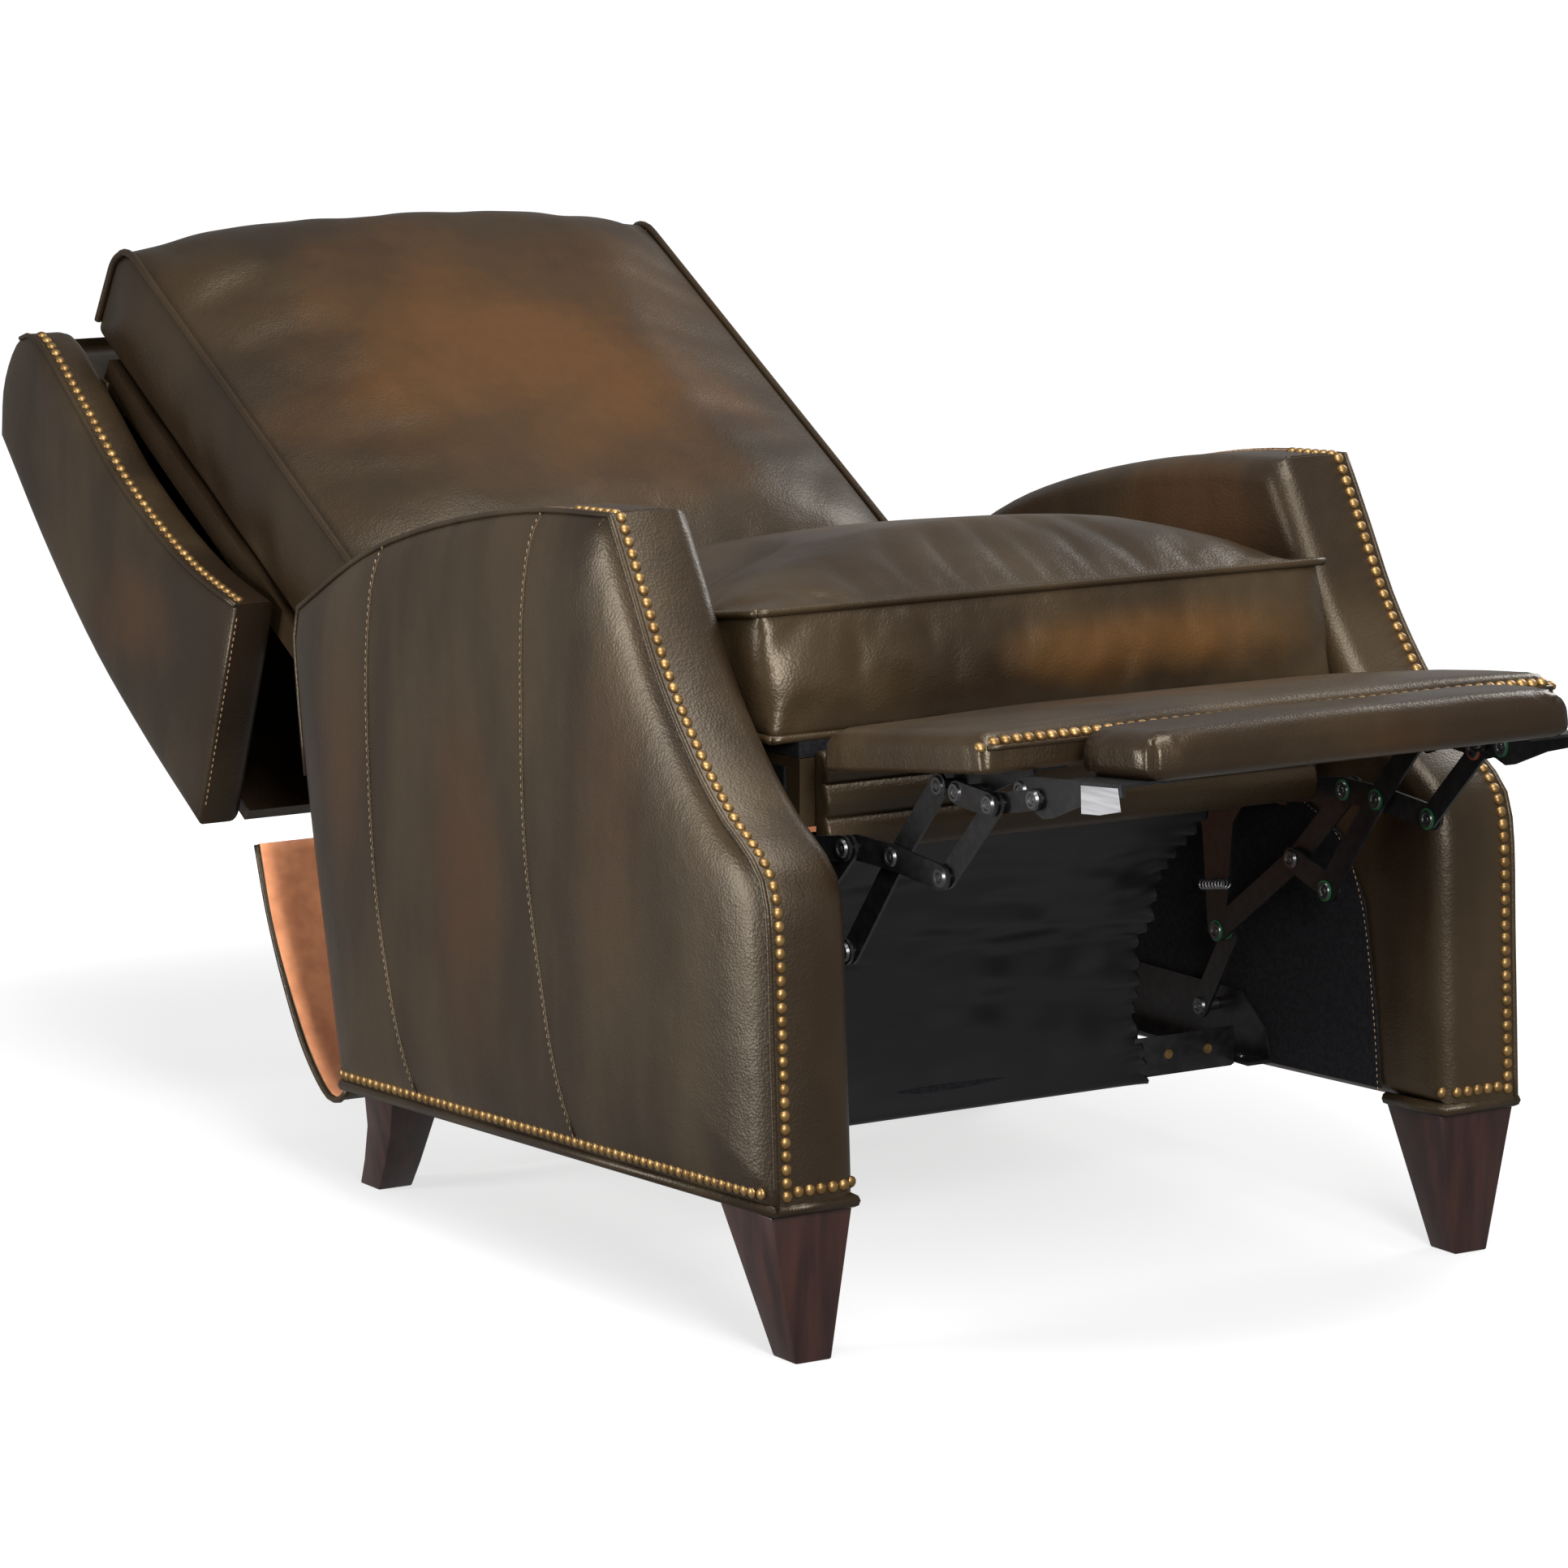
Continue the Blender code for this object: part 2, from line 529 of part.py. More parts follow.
WING_FRONT = through([(0.929, 0.493), (1.010, 0.514), (1.085, 0.545), (1.165, 0.590), (1.237, 0.644),
                      (1.300, 0.690)], 2)
WING_TOP = through([(1.320, 0.699), (1.352, 0.697), (1.376, 0.677), (1.396, 0.640), (1.400, 0.600)], 2)
WING_REAR = through([(1.310, 0.503), (1.213, 0.416), (1.110, 0.344), (1.006, 0.280)], 2)
for word, side in SIDES:
    low, high = mirrored(side, BACK_HALF + 0.004, WING_OUT)
    slab(f"back_wing_{word}", WING_FRONT + WING_TOP + WING_REAR, low, high, BACK, LEATHER)
PANEL_OUTER = [(1.376, 0.676)] + WING_TOP[-1:] + WING_REAR
panel_inner = inset(PANEL_OUTER + [(1.0, 0.50)], 0.010)[:len(PANEL_OUTER)]
PANEL_HALF = BACK_HALF + 0.0035
slab("back_outer_panel", PANEL_OUTER + panel_inner[::-1], -PANEL_HALF, PANEL_HALF, BACK, LEATHER)

# ---- footrest mechanism -----------------------------------------------------------------------------
steel_link("drive_lever", PLANE_DRIVE_LEVER, [LEVER_PIVOT, CONTROL_TOP], LEVER,
           studs=((LEVER_PIVOT, PLANE_DRIVE_LEVER + 0.0005, PLANE_SIDE_PLATE + STEEL + 0.001),
                  (CONTROL_TOP, PLANE_SCISSOR_LINK - 0.001, PLANE_DRIVE_LEVER + STEEL + 0.0015)))
steel_link("control_bar", PLANE_CONTROL_BAR, [CONTROL_TOP, CONTROL_MID, CONTROL_LOW], CONTROL,
           holes=(CONTROL_TOP,),
           studs=((CONTROL_MID, PLANE_SCISSOR_LINK - 0.001, PLANE_CONTROL_BAR + STEEL - 0.0005),))
steel_link("tie_link", PLANE_SCISSOR_LINK, [CONTROL_MID, LONG_LOW], TIE, holes=(CONTROL_MID,))
steel_link("scissor_link", PLANE_SCISSOR_LINK, [CONTROL_TOP, SCISSOR, SCISSOR_END], SCISSOR_LINK,
           holes=(CONTROL_TOP,),
           studs=((SCISSOR, PLANE_LONG_LINK - 0.001, PLANE_SCISSOR_LINK + STEEL + 0.0015),
                  (SCISSOR_END, PLANE_LONG_LINK - 0.001, PLANE_SCISSOR_LINK + STEEL + 0.0015)))
steel_link("long_link", PLANE_LONG_LINK, [LONG_LOW, SCISSOR, LONG_TOP], LONG, holes=(SCISSOR,),
           studs=((LONG_TOP, PLANE_FOOT_BRACKET - 0.001, PLANE_LONG_LINK + STEEL + 0.0015),))
steel_link("riser_link", PLANE_LONG_LINK, [SCISSOR_END, RISER_TOP], RISER, holes=(SCISSOR_END,),
           studs=((RISER_TOP, PLANE_FLAP_LINK - 0.001, PLANE_LONG_LINK + STEEL - 0.0005),), radius=0.0095)
steel_link("rocker_link", PLANE_SCISSOR_LINK, [ROCKER_PIVOT, RISER_TOP], ROCKER, holes=(ROCKER_PIVOT,),
           radius=0.0095)
steel_link("flap_link", PLANE_FLAP_LINK, [RISER_TOP, FLAP_PULL], FLAP_LINK, holes=(RISER_TOP,), radius=0.0085)

tube = pin("torque_tube", LEVER_PIVOT, -(PLANE_DRIVE_LEVER - 0.0003), PLANE_DRIVE_LEVER - 0.0003, 0.0095, 16)
cutters.objects.unlink(tube)
chair.objects.link(tube)
tube.hide_render = False
tube.display_type = "TEXTURED"
finish(tube, LEVER, BLACK_STEEL, (0, *LEVER_PIVOT))


# ---- footrest and its folding flap ------------------------------------------------------------------
def under_foot(y, drop=0.0):
    return (y, FOOT_UNDER + FOOT_SLOPE * (FOOT_REAR - y) - drop)


def under_flap(y, drop=0.0):
    return (y, FLAP_UNDER + 0.09 * (FLAP_REAR - y) - drop)


BOARD_REAR, BOARD_FRONT = FOOT_REAR - 0.006, FOOT_FRONT + 0.010
board_line = [under_foot(BOARD_REAR), under_foot(BOARD_REAR, -BOARD), under_foot(BOARD_FRONT, -BOARD),
              under_foot(BOARD_FRONT)]
slab("footrest_board", board_line, -0.274, 0.274, FOOTREST, PINE)
lift = BOARD + FRAME_GAP
pad_line = ([under_foot(FOOT_REAR, -lift), under_foot(FOOT_REAR + 0.003, -0.024)]
            + [under_foot(FOOT_REAR - 0.006, -FOOT_THICK), under_foot(-0.065, -FOOT_THICK - 0.004),
               under_foot(FOOT_FRONT + 0.006, -FOOT_THICK), under_foot(FOOT_FRONT, -FOOT_THICK + 0.005),
               under_foot(FOOT_FRONT, -0.001), under_foot(BOARD_FRONT - FRAME_GAP, -0.001),
               under_foot(BOARD_FRONT - FRAME_GAP, -lift)])
slab("footrest_pad", pad_line, -FOOT_HALF, FOOT_HALF, FOOTREST, LEATHER)

FLAP_BOARD_REAR, FLAP_BOARD_FRONT = FLAP_REAR - 0.008, FLAP_FRONT + 0.010
slab("flap_board", [under_flap(FLAP_BOARD_REAR), under_flap(FLAP_BOARD_REAR, -0.010),
                    under_flap(FLAP_BOARD_FRONT, -0.010), under_flap(FLAP_BOARD_FRONT)],
     -0.196, 0.196, FLAP, PINE)
lift = 0.010 + FRAME_GAP
flap_line = ([under_flap(FLAP_BOARD_REAR + FRAME_GAP, -lift), under_flap(FLAP_BOARD_REAR + FRAME_GAP, -0.001),
              under_flap(FLAP_REAR, -0.004), under_flap(FLAP_REAR, -FLAP_THICK + 0.010),
              under_flap(FLAP_REAR - 0.010, -FLAP_THICK), under_flap(FLAP_FRONT + 0.012, -FLAP_THICK),
              under_flap(FLAP_FRONT, -FLAP_THICK + 0.014), under_flap(FLAP_FRONT + 0.001, -0.006),
              under_flap(FLAP_BOARD_FRONT - FRAME_GAP, -0.001),
              under_flap(FLAP_BOARD_FRONT - FRAME_GAP, -lift)])
slab("flap_pad", flap_line, -FLAP_HALF, FLAP_HALF, FLAP, LEATHER)

for word, side in SIDES:
    low, high = mirrored(side, PLANE_FOOT_BRACKET, PLANE_FOOT_BRACKET + STEEL)
    ears = [under_foot(0.020, 0.0005), under_foot(-0.158, 0.0005), (-0.161, 0.470), (-0.157, 0.461),
            (-0.148, 0.459), (-0.128, 0.472), (-0.100, 0.460), (-0.095, 0.452), (-0.086, 0.449),
            (-0.070, 0.453), (-0.055, 0.449), (-0.044, 0.453), (-0.030, 0.464)]
    bracket = slab(f"footrest_bracket_{word}", ears, low, high, FOOTREST, BLACK_STEEL, holes=(LONG_TOP,))
    strip = [under_foot(0.020, 0.0005), under_foot(-0.158, 0.0005), under_foot(-0.158, 0.003),
             under_foot(0.020, 0.003)]
    low, high = mirrored(side, 0.192, PLANE_FOOT_BRACKET + 0.001)
    combine(bracket, slab(f"footrest_flange_{word}", strip, low, high, group=cutters), "UNION")
    low, high = mirrored(side, PLANE_FOOT_BRACKET + 0.0005, PLANE_SCISSOR_LINK + STEEL + 0.001)
    combine(bracket, pin(f"rocker_stud_{word}", ROCKER_PIVOT, low, high), "UNION")
    low, high = mirrored(side, PLANE_FOOT_BRACKET + 0.0005, PLANE_FLAP_PLATE + STEEL + 0.0008)
    combine(bracket, pin(f"flap_stud_{word}", FLAP_PIVOT, low, high), "UNION")

    low, high = mirrored(side, PLANE_FLAP_PLATE, PLANE_FLAP_PLATE + STEEL)
    wing = [(-0.142, 0.476), (-0.150, 0.4805), (-0.170, 0.484), under_flap(-0.200, 0.0005),
            under_flap(-0.282, 0.0005), under_flap(-0.284, 0.010), (-0.230, 0.470), (-0.190, 0.454),
            (-0.180, 0.452), (-0.168, 0.456), (-0.150, 0.4595), (-0.142, 0.464)]
    plate = slab(f"flap_plate_{word}", wing, low, high, FLAP, BLACK_STEEL, holes=(FLAP_PIVOT,))
    strip = [under_flap(-0.206, 0.0005), under_flap(-0.282, 0.0005), under_flap(-0.282, 0.003),
             under_flap(-0.206, 0.003)]
    low, high = mirrored(side, 0.168, PLANE_FLAP_PLATE + 0.001)
    combine(plate, slab(f"flap_flange_{word}", strip, low, high, group=cutters), "UNION")
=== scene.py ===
import json
import math
import random

import bmesh
import bpy
from mathutils import Matrix, Vector, noise
from mathutils.bvhtree import BVHTree
from mathutils.kdtree import KDTree


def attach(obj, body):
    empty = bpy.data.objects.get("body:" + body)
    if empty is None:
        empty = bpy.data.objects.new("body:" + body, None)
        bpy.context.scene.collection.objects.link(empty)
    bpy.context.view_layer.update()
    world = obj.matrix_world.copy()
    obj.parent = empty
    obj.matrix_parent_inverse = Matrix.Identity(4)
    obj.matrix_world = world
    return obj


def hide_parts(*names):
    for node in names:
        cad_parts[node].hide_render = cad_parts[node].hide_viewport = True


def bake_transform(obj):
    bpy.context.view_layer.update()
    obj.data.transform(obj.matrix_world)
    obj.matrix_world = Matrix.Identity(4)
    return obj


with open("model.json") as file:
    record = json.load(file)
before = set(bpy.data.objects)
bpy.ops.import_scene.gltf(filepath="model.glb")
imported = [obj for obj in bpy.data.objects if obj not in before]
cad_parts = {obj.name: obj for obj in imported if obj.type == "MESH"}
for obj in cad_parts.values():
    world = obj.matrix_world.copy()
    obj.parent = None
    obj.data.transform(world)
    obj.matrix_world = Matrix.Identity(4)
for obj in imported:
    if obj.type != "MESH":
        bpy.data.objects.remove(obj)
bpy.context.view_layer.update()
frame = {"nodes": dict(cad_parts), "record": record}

# ---- camera, floor and lights -------------------------------------------------------------------
# Lengths are measured back from the front legs and up from the floor. One of the record's mounts
# says where those legs stand.
FRONT = next(m["pos_m"][1] for m in frame["record"]["mounts"] if m["name"] == "front_leg_left_foot")

camera_data = bpy.data.cameras.new("camera")
camera_data.lens = 149.0
camera_data.clip_end = 50.0
camera = bpy.data.objects.new("camera", camera_data)
bpy.context.scene.collection.objects.link(camera)
camera.location = (-3.067, -4.201 + FRONT, 1.329)
camera.rotation_euler = (math.radians(90 - 9.80), 0, math.radians(-32.89))
bpy.context.scene.camera = camera

floor_shape = bmesh.new()
bmesh.ops.create_grid(floor_shape, x_segments=1, y_segments=1, size=2.3)
floor_mesh = bpy.data.meshes.new("studio_floor")
floor_shape.to_mesh(floor_mesh)
floor_shape.free()
studio_floor = bpy.data.objects.new("studio_floor", floor_mesh)
bpy.context.scene.collection.objects.link(studio_floor)
floor_paint = bpy.data.materials.new("pale_floor")
floor_paint.use_nodes = True
floor_paint.node_tree.nodes["Principled BSDF"].inputs["Base Color"].default_value = (0.30, 0.30, 0.30, 1)
floor_paint.node_tree.nodes["Principled BSDF"].inputs["Roughness"].default_value = 0.9
floor_paint.node_tree.nodes["Principled BSDF"].inputs["Emission Color"].default_value = (1, 1, 1, 1)
floor_spot = floor_paint.node_tree.nodes.new("ShaderNodeTexCoord")
floor_reach = floor_paint.node_tree.nodes.new("ShaderNodeVectorMath")
floor_reach.operation = "LENGTH"
floor_glow = floor_paint.node_tree.nodes.new("ShaderNodeMapRange")
floor_glow.interpolation_type = "SMOOTHSTEP"
for socket, value in (("From Min", 0.9), ("From Max", 1.7), ("To Min", 0.68), ("To Max", 1.05)):
    floor_glow.inputs[socket].default_value = value
floor_paint.node_tree.links.new(floor_spot.outputs["Object"], floor_reach.inputs[0])
floor_paint.node_tree.links.new(floor_reach.outputs["Value"], floor_glow.inputs["Value"])
floor_paint.node_tree.links.new(floor_glow.outputs["Result"],
                                floor_paint.node_tree.nodes["Principled BSDF"].inputs["Emission Strength"])
floor_mesh.materials.append(floor_paint)
studio_floor.visible_glossy = False
studio_floor.visible_diffuse = False

world = bpy.data.worlds.new("studio")
world.use_nodes = True
world.node_tree.nodes["Background"].inputs["Color"].default_value = (1, 1, 1, 1)
studio_walls = world.node_tree.nodes["Background"]
studio_walls.inputs["Strength"].default_value = 0.32
white_sweep = world.node_tree.nodes.new("ShaderNodeBackground")
white_sweep.inputs["Color"].default_value = (1, 1, 1, 1)
white_sweep.inputs["Strength"].default_value = 1.05
seen_straight = world.node_tree.nodes.new("ShaderNodeLightPath")
either = world.node_tree.nodes.new("ShaderNodeMixShader")
world.node_tree.links.new(seen_straight.outputs["Is Camera Ray"], either.inputs["Fac"])
world.node_tree.links.new(studio_walls.outputs["Background"], either.inputs[1])
world.node_tree.links.new(white_sweep.outputs["Background"], either.inputs[2])
world.node_tree.links.new(either.outputs["Shader"], world.node_tree.nodes["World Output"].inputs["Surface"])
bpy.context.scene.world = world
bpy.context.scene.view_settings.view_transform = "Standard"


def soft_light(name, place, aim, width, height, power):
    data = bpy.data.lights.new(name, "AREA")
    data.shape = "RECTANGLE"
    data.size, data.size_y, data.energy = width, height, power
    light = bpy.data.objects.new(name, data)
    bpy.context.scene.collection.objects.link(light)
    light.location = place
    light.rotation_euler = (Vector(aim) - Vector(place)).to_track_quat("-Z", "Y").to_euler()


soft_light("key_front", (-1.0, -3.2, 1.7), (0.0, -0.2, 0.45), 1.0, 1.5, 118)
soft_light("side_left", (-2.9, 0.35, 0.6), (-0.38, -0.3, 0.45), 0.55, 1.5, 66)
soft_light("overhead", (-0.2, -0.9, 2.8), (0.0, 0.0, 0.4), 1.6, 1.6, 74)
soft_light("rim_right", (2.6, 0.6, 1.8), (0.1, 0.1, 0.5), 0.8, 1.6, 30)


# ---- leather covering of the arms -----------------------------------------------------------------
# Each arm is a block of foam over a wooden frame, covered in pebble-grain leather that was rubbed
# by hand so that its tan dye shows through. The outside panel is sewn from three widths, and the
# front and top are one strip that rolls over the inner edge.
def colour_ramp(tree, factor, dark, light, low, high):
    ramp = tree.nodes.new("ShaderNodeMapRange")
    ramp.interpolation_type = "SMOOTHSTEP"
    ramp.inputs["From Min"].default_value = low
    ramp.inputs["From Max"].default_value = high
    tree.links.new(factor, ramp.inputs["Value"])
    return mixed(tree, ramp.outputs["Result"], dark, light)


def mixed(tree, factor, first, second):
    mix = tree.nodes.new("ShaderNodeMix")
    mix.data_type = "RGBA"
    tree.links.new(factor, mix.inputs["Factor"])
    for socket, value in ((mix.inputs["A"], first), (mix.inputs["B"], second)):
        if isinstance(value, tuple):
            socket.default_value = (*value, 1.0)
        else:
            tree.links.new(value, socket)
    return mix.outputs["Result"]


def noise_texture(tree, coordinates, scale, detail=3.0, stretch=(1, 1, 1)):
    mapping = tree.nodes.new("ShaderNodeMapping")
    mapping.inputs["Scale"].default_value = stretch
    tree.links.new(coordinates, mapping.inputs["Vector"])
    texture = tree.nodes.new("ShaderNodeTexNoise")
    texture.inputs["Scale"].default_value = scale
    texture.inputs["Detail"].default_value = detail
    tree.links.new(mapping.outputs["Vector"], texture.inputs["Vector"])
    return texture.outputs["Fac"]


def product(tree, first, second, operation="MULTIPLY"):
    maths = tree.nodes.new("ShaderNodeMath")
    maths.operation = operation
    for socket, value in zip(maths.inputs, (first, second)):
        if isinstance(value, (int, float)):
            socket.default_value = value
        else:
            tree.links.new(value, socket)
    return maths.outputs["Value"]


def leather(name, deep, olive, amber, rubbed=(), streaks=(1, 1, 1), gloss=0.36, crease=0.25):
    """Hand-rubbed pebble-grain leather; rubbed lists (centre, reach, strength) of its worn places."""
    mat = bpy.data.materials.new(name)
    mat.use_nodes = True
    tree = mat.node_tree
    shader = tree.nodes["Principled BSDF"]
    place = tree.nodes.new("ShaderNodeTexCoord").outputs["Object"]
    cloudy = noise_texture(tree, place, 5.0, 4.0, streaks)
    base = colour_ramp(tree, cloudy, deep, olive, 0.34, 0.66)
    worn = None
    for centre, reach, strength in rubbed:
        mapping = tree.nodes.new("ShaderNodeMapping")
        mapping.vector_type = "TEXTURE"
        mapping.inputs["Location"].default_value = centre
        mapping.inputs["Scale"].default_value = reach
        tree.links.new(place, mapping.inputs["Vector"])
        distance = tree.nodes.new("ShaderNodeVectorMath")
        distance.operation = "LENGTH"
        tree.links.new(mapping.outputs["Vector"], distance.inputs[0])
        patchy = noise_texture(tree, place, 9.0, 5.0)
        wander = product(tree, distance.outputs["Value"], product(tree, patchy, 0.9), "ADD")
        falloff = tree.nodes.new("ShaderNodeMapRange")
        falloff.interpolation_type = "SMOOTHSTEP"
        falloff.inputs["From Min"].default_value = 1.45
        falloff.inputs["From Max"].default_value = 0.55
        falloff.inputs["To Max"].default_value = strength
        tree.links.new(wander, falloff.inputs["Value"])
        share = falloff.outputs["Result"]
        worn = share if worn is None else product(tree, worn, share, "MAXIMUM")
    if worn is not None:
        base = mixed(tree, worn, base, amber)
    mottle = noise_texture(tree, place, 60.0, 3.0)
    base = mixed(tree, product(tree, mottle, 0.32), base, deep)
    tree.links.new(base, shader.inputs["Base Color"])
    sheen_patches = noise_texture(tree, place, 16.0, 4.0)
    rough = tree.nodes.new("ShaderNodeMapRange")
    rough.inputs["To Min"].default_value = gloss - 0.05
    rough.inputs["To Max"].default_value = gloss + 0.12
    tree.links.new(sheen_patches, rough.inputs["Value"])
    tree.links.new(rough.outputs["Result"], shader.inputs["Roughness"])
    shader.inputs["Specular IOR Level"].default_value = 0.48
    shader.inputs["Specular Tint"].default_value = (1.0, 0.86, 0.66, 1.0)
    grain = tree.nodes.new("ShaderNodeTexVoronoi")
    grain.inputs["Scale"].default_value = 420.0
    tree.links.new(place, grain.inputs["Vector"])
    fine = tree.nodes.new("ShaderNodeBump")
    fine.inputs["Strength"].default_value = 0.30
    fine.inputs["Distance"].default_value = 0.0006
    tree.links.new(grain.outputs["Distance"], fine.inputs["Height"])
    soft = tree.nodes.new("ShaderNodeBump")
    soft.inputs["Strength"].default_value = crease
    soft.inputs["Distance"].default_value = 0.004
    tree.links.new(noise_texture(tree, place, 26.0, 4.0), soft.inputs["Height"])
    tree.links.new(fine.outputs["Normal"], soft.inputs["Normal"])
    tree.links.new(soft.outputs["Normal"], shader.inputs["Normal"])
    return mat


DEEP, OLIVE, AMBER = (0.0135, 0.0072, 0.0034), (0.037, 0.0235, 0.0112), (0.092, 0.039, 0.0085)
RUST = (0.052, 0.0205, 0.0066)


def at(x, y, z):
    """A place given from the front legs, in the frame's own coordinates."""
    return Vector((x, y + FRONT, z))


def through(points, step):
    """Places every step along a smooth curve through (y, z) points."""
    spots = [Vector(p) for p in points]
    ends = [2 * spots[0] - spots[1]] + spots + [2 * spots[-1] - spots[-2]]
    fine = []
    for a, b, c, d in zip(ends, ends[1:], ends[2:], ends[3:]):
        for k in range(24):
            t = k / 24
            fine.append(0.5 * (2 * b + (c - a) * t + (2 * a - 5 * b + 4 * c - d) * t * t
                               + (3 * b - 3 * c + d - a) * t ** 3))
    fine.append(spots[-1])
    return paced(fine, step)


def paced(line, step):
    """The same line with its points about one step apart, both ends kept."""
    total = sum((b - a).length for a, b in zip(line, line[1:]))
    count = max(1, round(total / step))
    spacing, walked, run = total / count, 0.0, [line[0].copy()]
    for a, b in zip(line, line[1:]):
        length = (b - a).length
        while length > 0 and walked + length >= spacing * len(run) - 1e-9 and len(run) < count:
            run.append(a.lerp(b, (spacing * len(run) - walked) / length))
        walked += length
    return run + [line[-1].copy()]


def piece(name, shape, finishes, body, crisp=42, stands_for=()):
    """Turns a bmesh into a shown object that rides on a body."""
    bmesh.ops.recalc_face_normals(shape, faces=shape.faces)
    mesh = bpy.data.meshes.new(name)
    shape.to_mesh(mesh)
    shape.free()
    for finish in finishes:
        mesh.materials.append(finish)
    mesh.shade_smooth()
    if crisp:
        mesh.set_sharp_from_angle(angle=math.radians(crisp))
    obj = bpy.data.objects.new(name, mesh)
    bpy.context.scene.collection.objects.link(obj)
    if body:
        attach(obj, body)
    if stands_for:
        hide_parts(*stands_for)
    return obj


def upholstered_side(outline, x_outer, x_inner, inner_round, outer_round, swell, keep_sharp_below):
    """A padded block with the outline of an arm or a wing, soft along its inner edge."""
    shape = bmesh.new()
    face = shape.faces.new([shape.verts.new(at(x_outer, p.x, p.y)) for p in outline])
    made = bmesh.ops.extrude_face_region(shape, geom=[face])
    moved = [v for v in made["geom"] if isinstance(v, bmesh.types.BMVert)]
    bmesh.ops.translate(shape, verts=moved, vec=(x_inner - x_outer, 0, 0))
    for x_rim, rounding, segments in ((x_inner, inner_round, 6), (x_outer, outer_round, 2)):
        rim = [e for e in shape.edges
               if all(abs(v.co.x - x_rim) < 1e-6 for v in e.verts)
               and max(v.co.z for v in e.verts) > keep_sharp_below(e)]
        bmesh.ops.bevel(shape, geom=rim, offset=rounding, segments=segments, profile=0.5,
                        affect="EDGES", material=-1, clamp_overlap=True)
    for side_face in sorted(shape.faces, key=lambda f: len(f.verts))[-2:]:
        middle = side_face.calc_center_bounds()
        if abs(middle.x - x_outer) > abs(middle.x - x_inner):
            continue
        away = math.copysign(1, x_outer)
        for share, rise in ((0.985, 0.22), (0.96, 0.28), (0.92, 0.26), (0.88, 0.16), (0.85, 0.08)):
            made = bmesh.ops.extrude_discrete_faces(shape, faces=[side_face])
            side_face = made["faces"][0]
            lift = Vector((away * swell * rise, 0, 0))
            for v in side_face.verts:
                v.co = middle + (v.co - middle) * share + lift
            middle = middle + lift
    bmesh.ops.triangulate(shape, faces=[f for f in shape.faces if len(f.verts) > 4])
    return shape


ARM_OUT, ARM_IN = 0.372, 0.293
ARM_FRONT = [(-0.025, 0.128), (-0.018, 0.260), (-0.011, 0.368), (0.010, 0.404), (0.056, 0.434),
             (0.104, 0.478), (0.152, 0.536), (0.190, 0.600), (0.223, 0.655)]
ARM_TOP = [(0.223, 0.655), (0.328, 0.648), (0.430, 0.632), (0.541, 0.606), (0.640, 0.572), (0.748, 0.516)]
ARM_REAR = [(0.748, 0.516), (0.755, 0.486), (0.732, 0.337), (0.679, 0.100)]
arm_front_line = through(ARM_FRONT, 0.022)
arm_top_line = through(ARM_TOP, 0.026)
arm_rear_line = through(ARM_REAR, 0.030)
arm_outline = arm_front_line + arm_top_line[1:] + arm_rear_line[1:]


def arm_underside(y):
    return 0.128 - 0.028 * (y + 0.025) / 0.704


def rolled_welt(line, radius):
    """A welt: leather rolled round a cord and sewn in along a line."""
    curve = bpy.data.curves.new("welt", "CURVE")
    curve.dimensions = "3D"
    curve.bevel_depth = radius
    curve.bevel_resolution = 2
    curve.use_fill_caps = True
    spline = curve.splines.new("POLY")
    spline.points.add(len(line) - 1)
    for point, spot in zip(spline.points, line):
        point.co = (*spot, 1)
    obj = bpy.data.objects.new("welt", curve)
    bpy.context.scene.collection.objects.link(obj)
    mesh = bpy.data.meshes.new_from_object(obj.evaluated_get(bpy.context.evaluated_depsgraph_get()))
    shape = bmesh.new()
    shape.from_mesh(mesh)
    bmesh.ops.remove_doubles(shape, verts=shape.verts, dist=0.00001)
    bpy.data.objects.remove(obj)
    bpy.data.curves.remove(curve)
    bpy.data.meshes.remove(mesh)
    return shape


def facing(direction, along=None):
    """A turn that points local Z along direction, and local X along the other one if it is given."""
    up = Vector(direction).normalized()
    if along is None:
        return up.to_track_quat("Z", "Y").to_matrix().to_4x4()
    run = (Vector(along) - up * Vector(along).dot(up)).normalized()
    return Matrix((run, up.cross(run), up)).transposed().to_4x4()


def nail_row(spots, radius=0.0052):
    """Domed nail heads at (place, outward direction) spots."""
    shape = bmesh.new()
    for place, outward in spots:
        turn = Matrix.Translation(place) @ facing(outward) @ Matrix.Diagonal((1, 1, 0.62, 1))
        bmesh.ops.create_uvsphere(shape, u_segments=10, v_segments=5, radius=radius, matrix=turn)
    return shape


def stitch_row(spots, length=0.0045, every=0.0065, thick=0.0007):
    """Thread lying along (place, outward direction) spots, as separate stitches."""
    shape, walked = bmesh.new(), 0.0
    for (a, out), (b, _) in zip(spots, spots[1:]):
        run = b - a
        while walked < run.length:
            turn = Matrix.Translation(a + run.normalized() * walked) @ facing(out, run)
            turn = turn @ Matrix.Diagonal((length / 2, thick, thick * 0.8, 1))
            bmesh.ops.create_uvsphere(shape, u_segments=6, v_segments=4, radius=1.0, matrix=turn)
            walked += every
        walked -= run.length
    return shape


def laid_on(surface, spots, reach=0.04):
    """Moves (place, outward direction) spots down onto a surface."""
    laid = []
    for place, outward in spots:
        hit, normal, _, _ = surface.ray_cast(place + outward * reach, -outward, reach * 2)
        laid.append((hit if hit is not None else place, outward))
    return laid


def outline_spots(line, x):
    """(place, outward direction) spots along a (y, z) line at x, outward being to its left."""
    spots = []
    for i, p in enumerate(line):
        run = (line[min(i + 1, len(line) - 1)] - line[max(i - 1, 0)]).normalized()
        spots.append((at(x, p.x, p.y), Vector((0, -run.y, run.x))))
    return spots


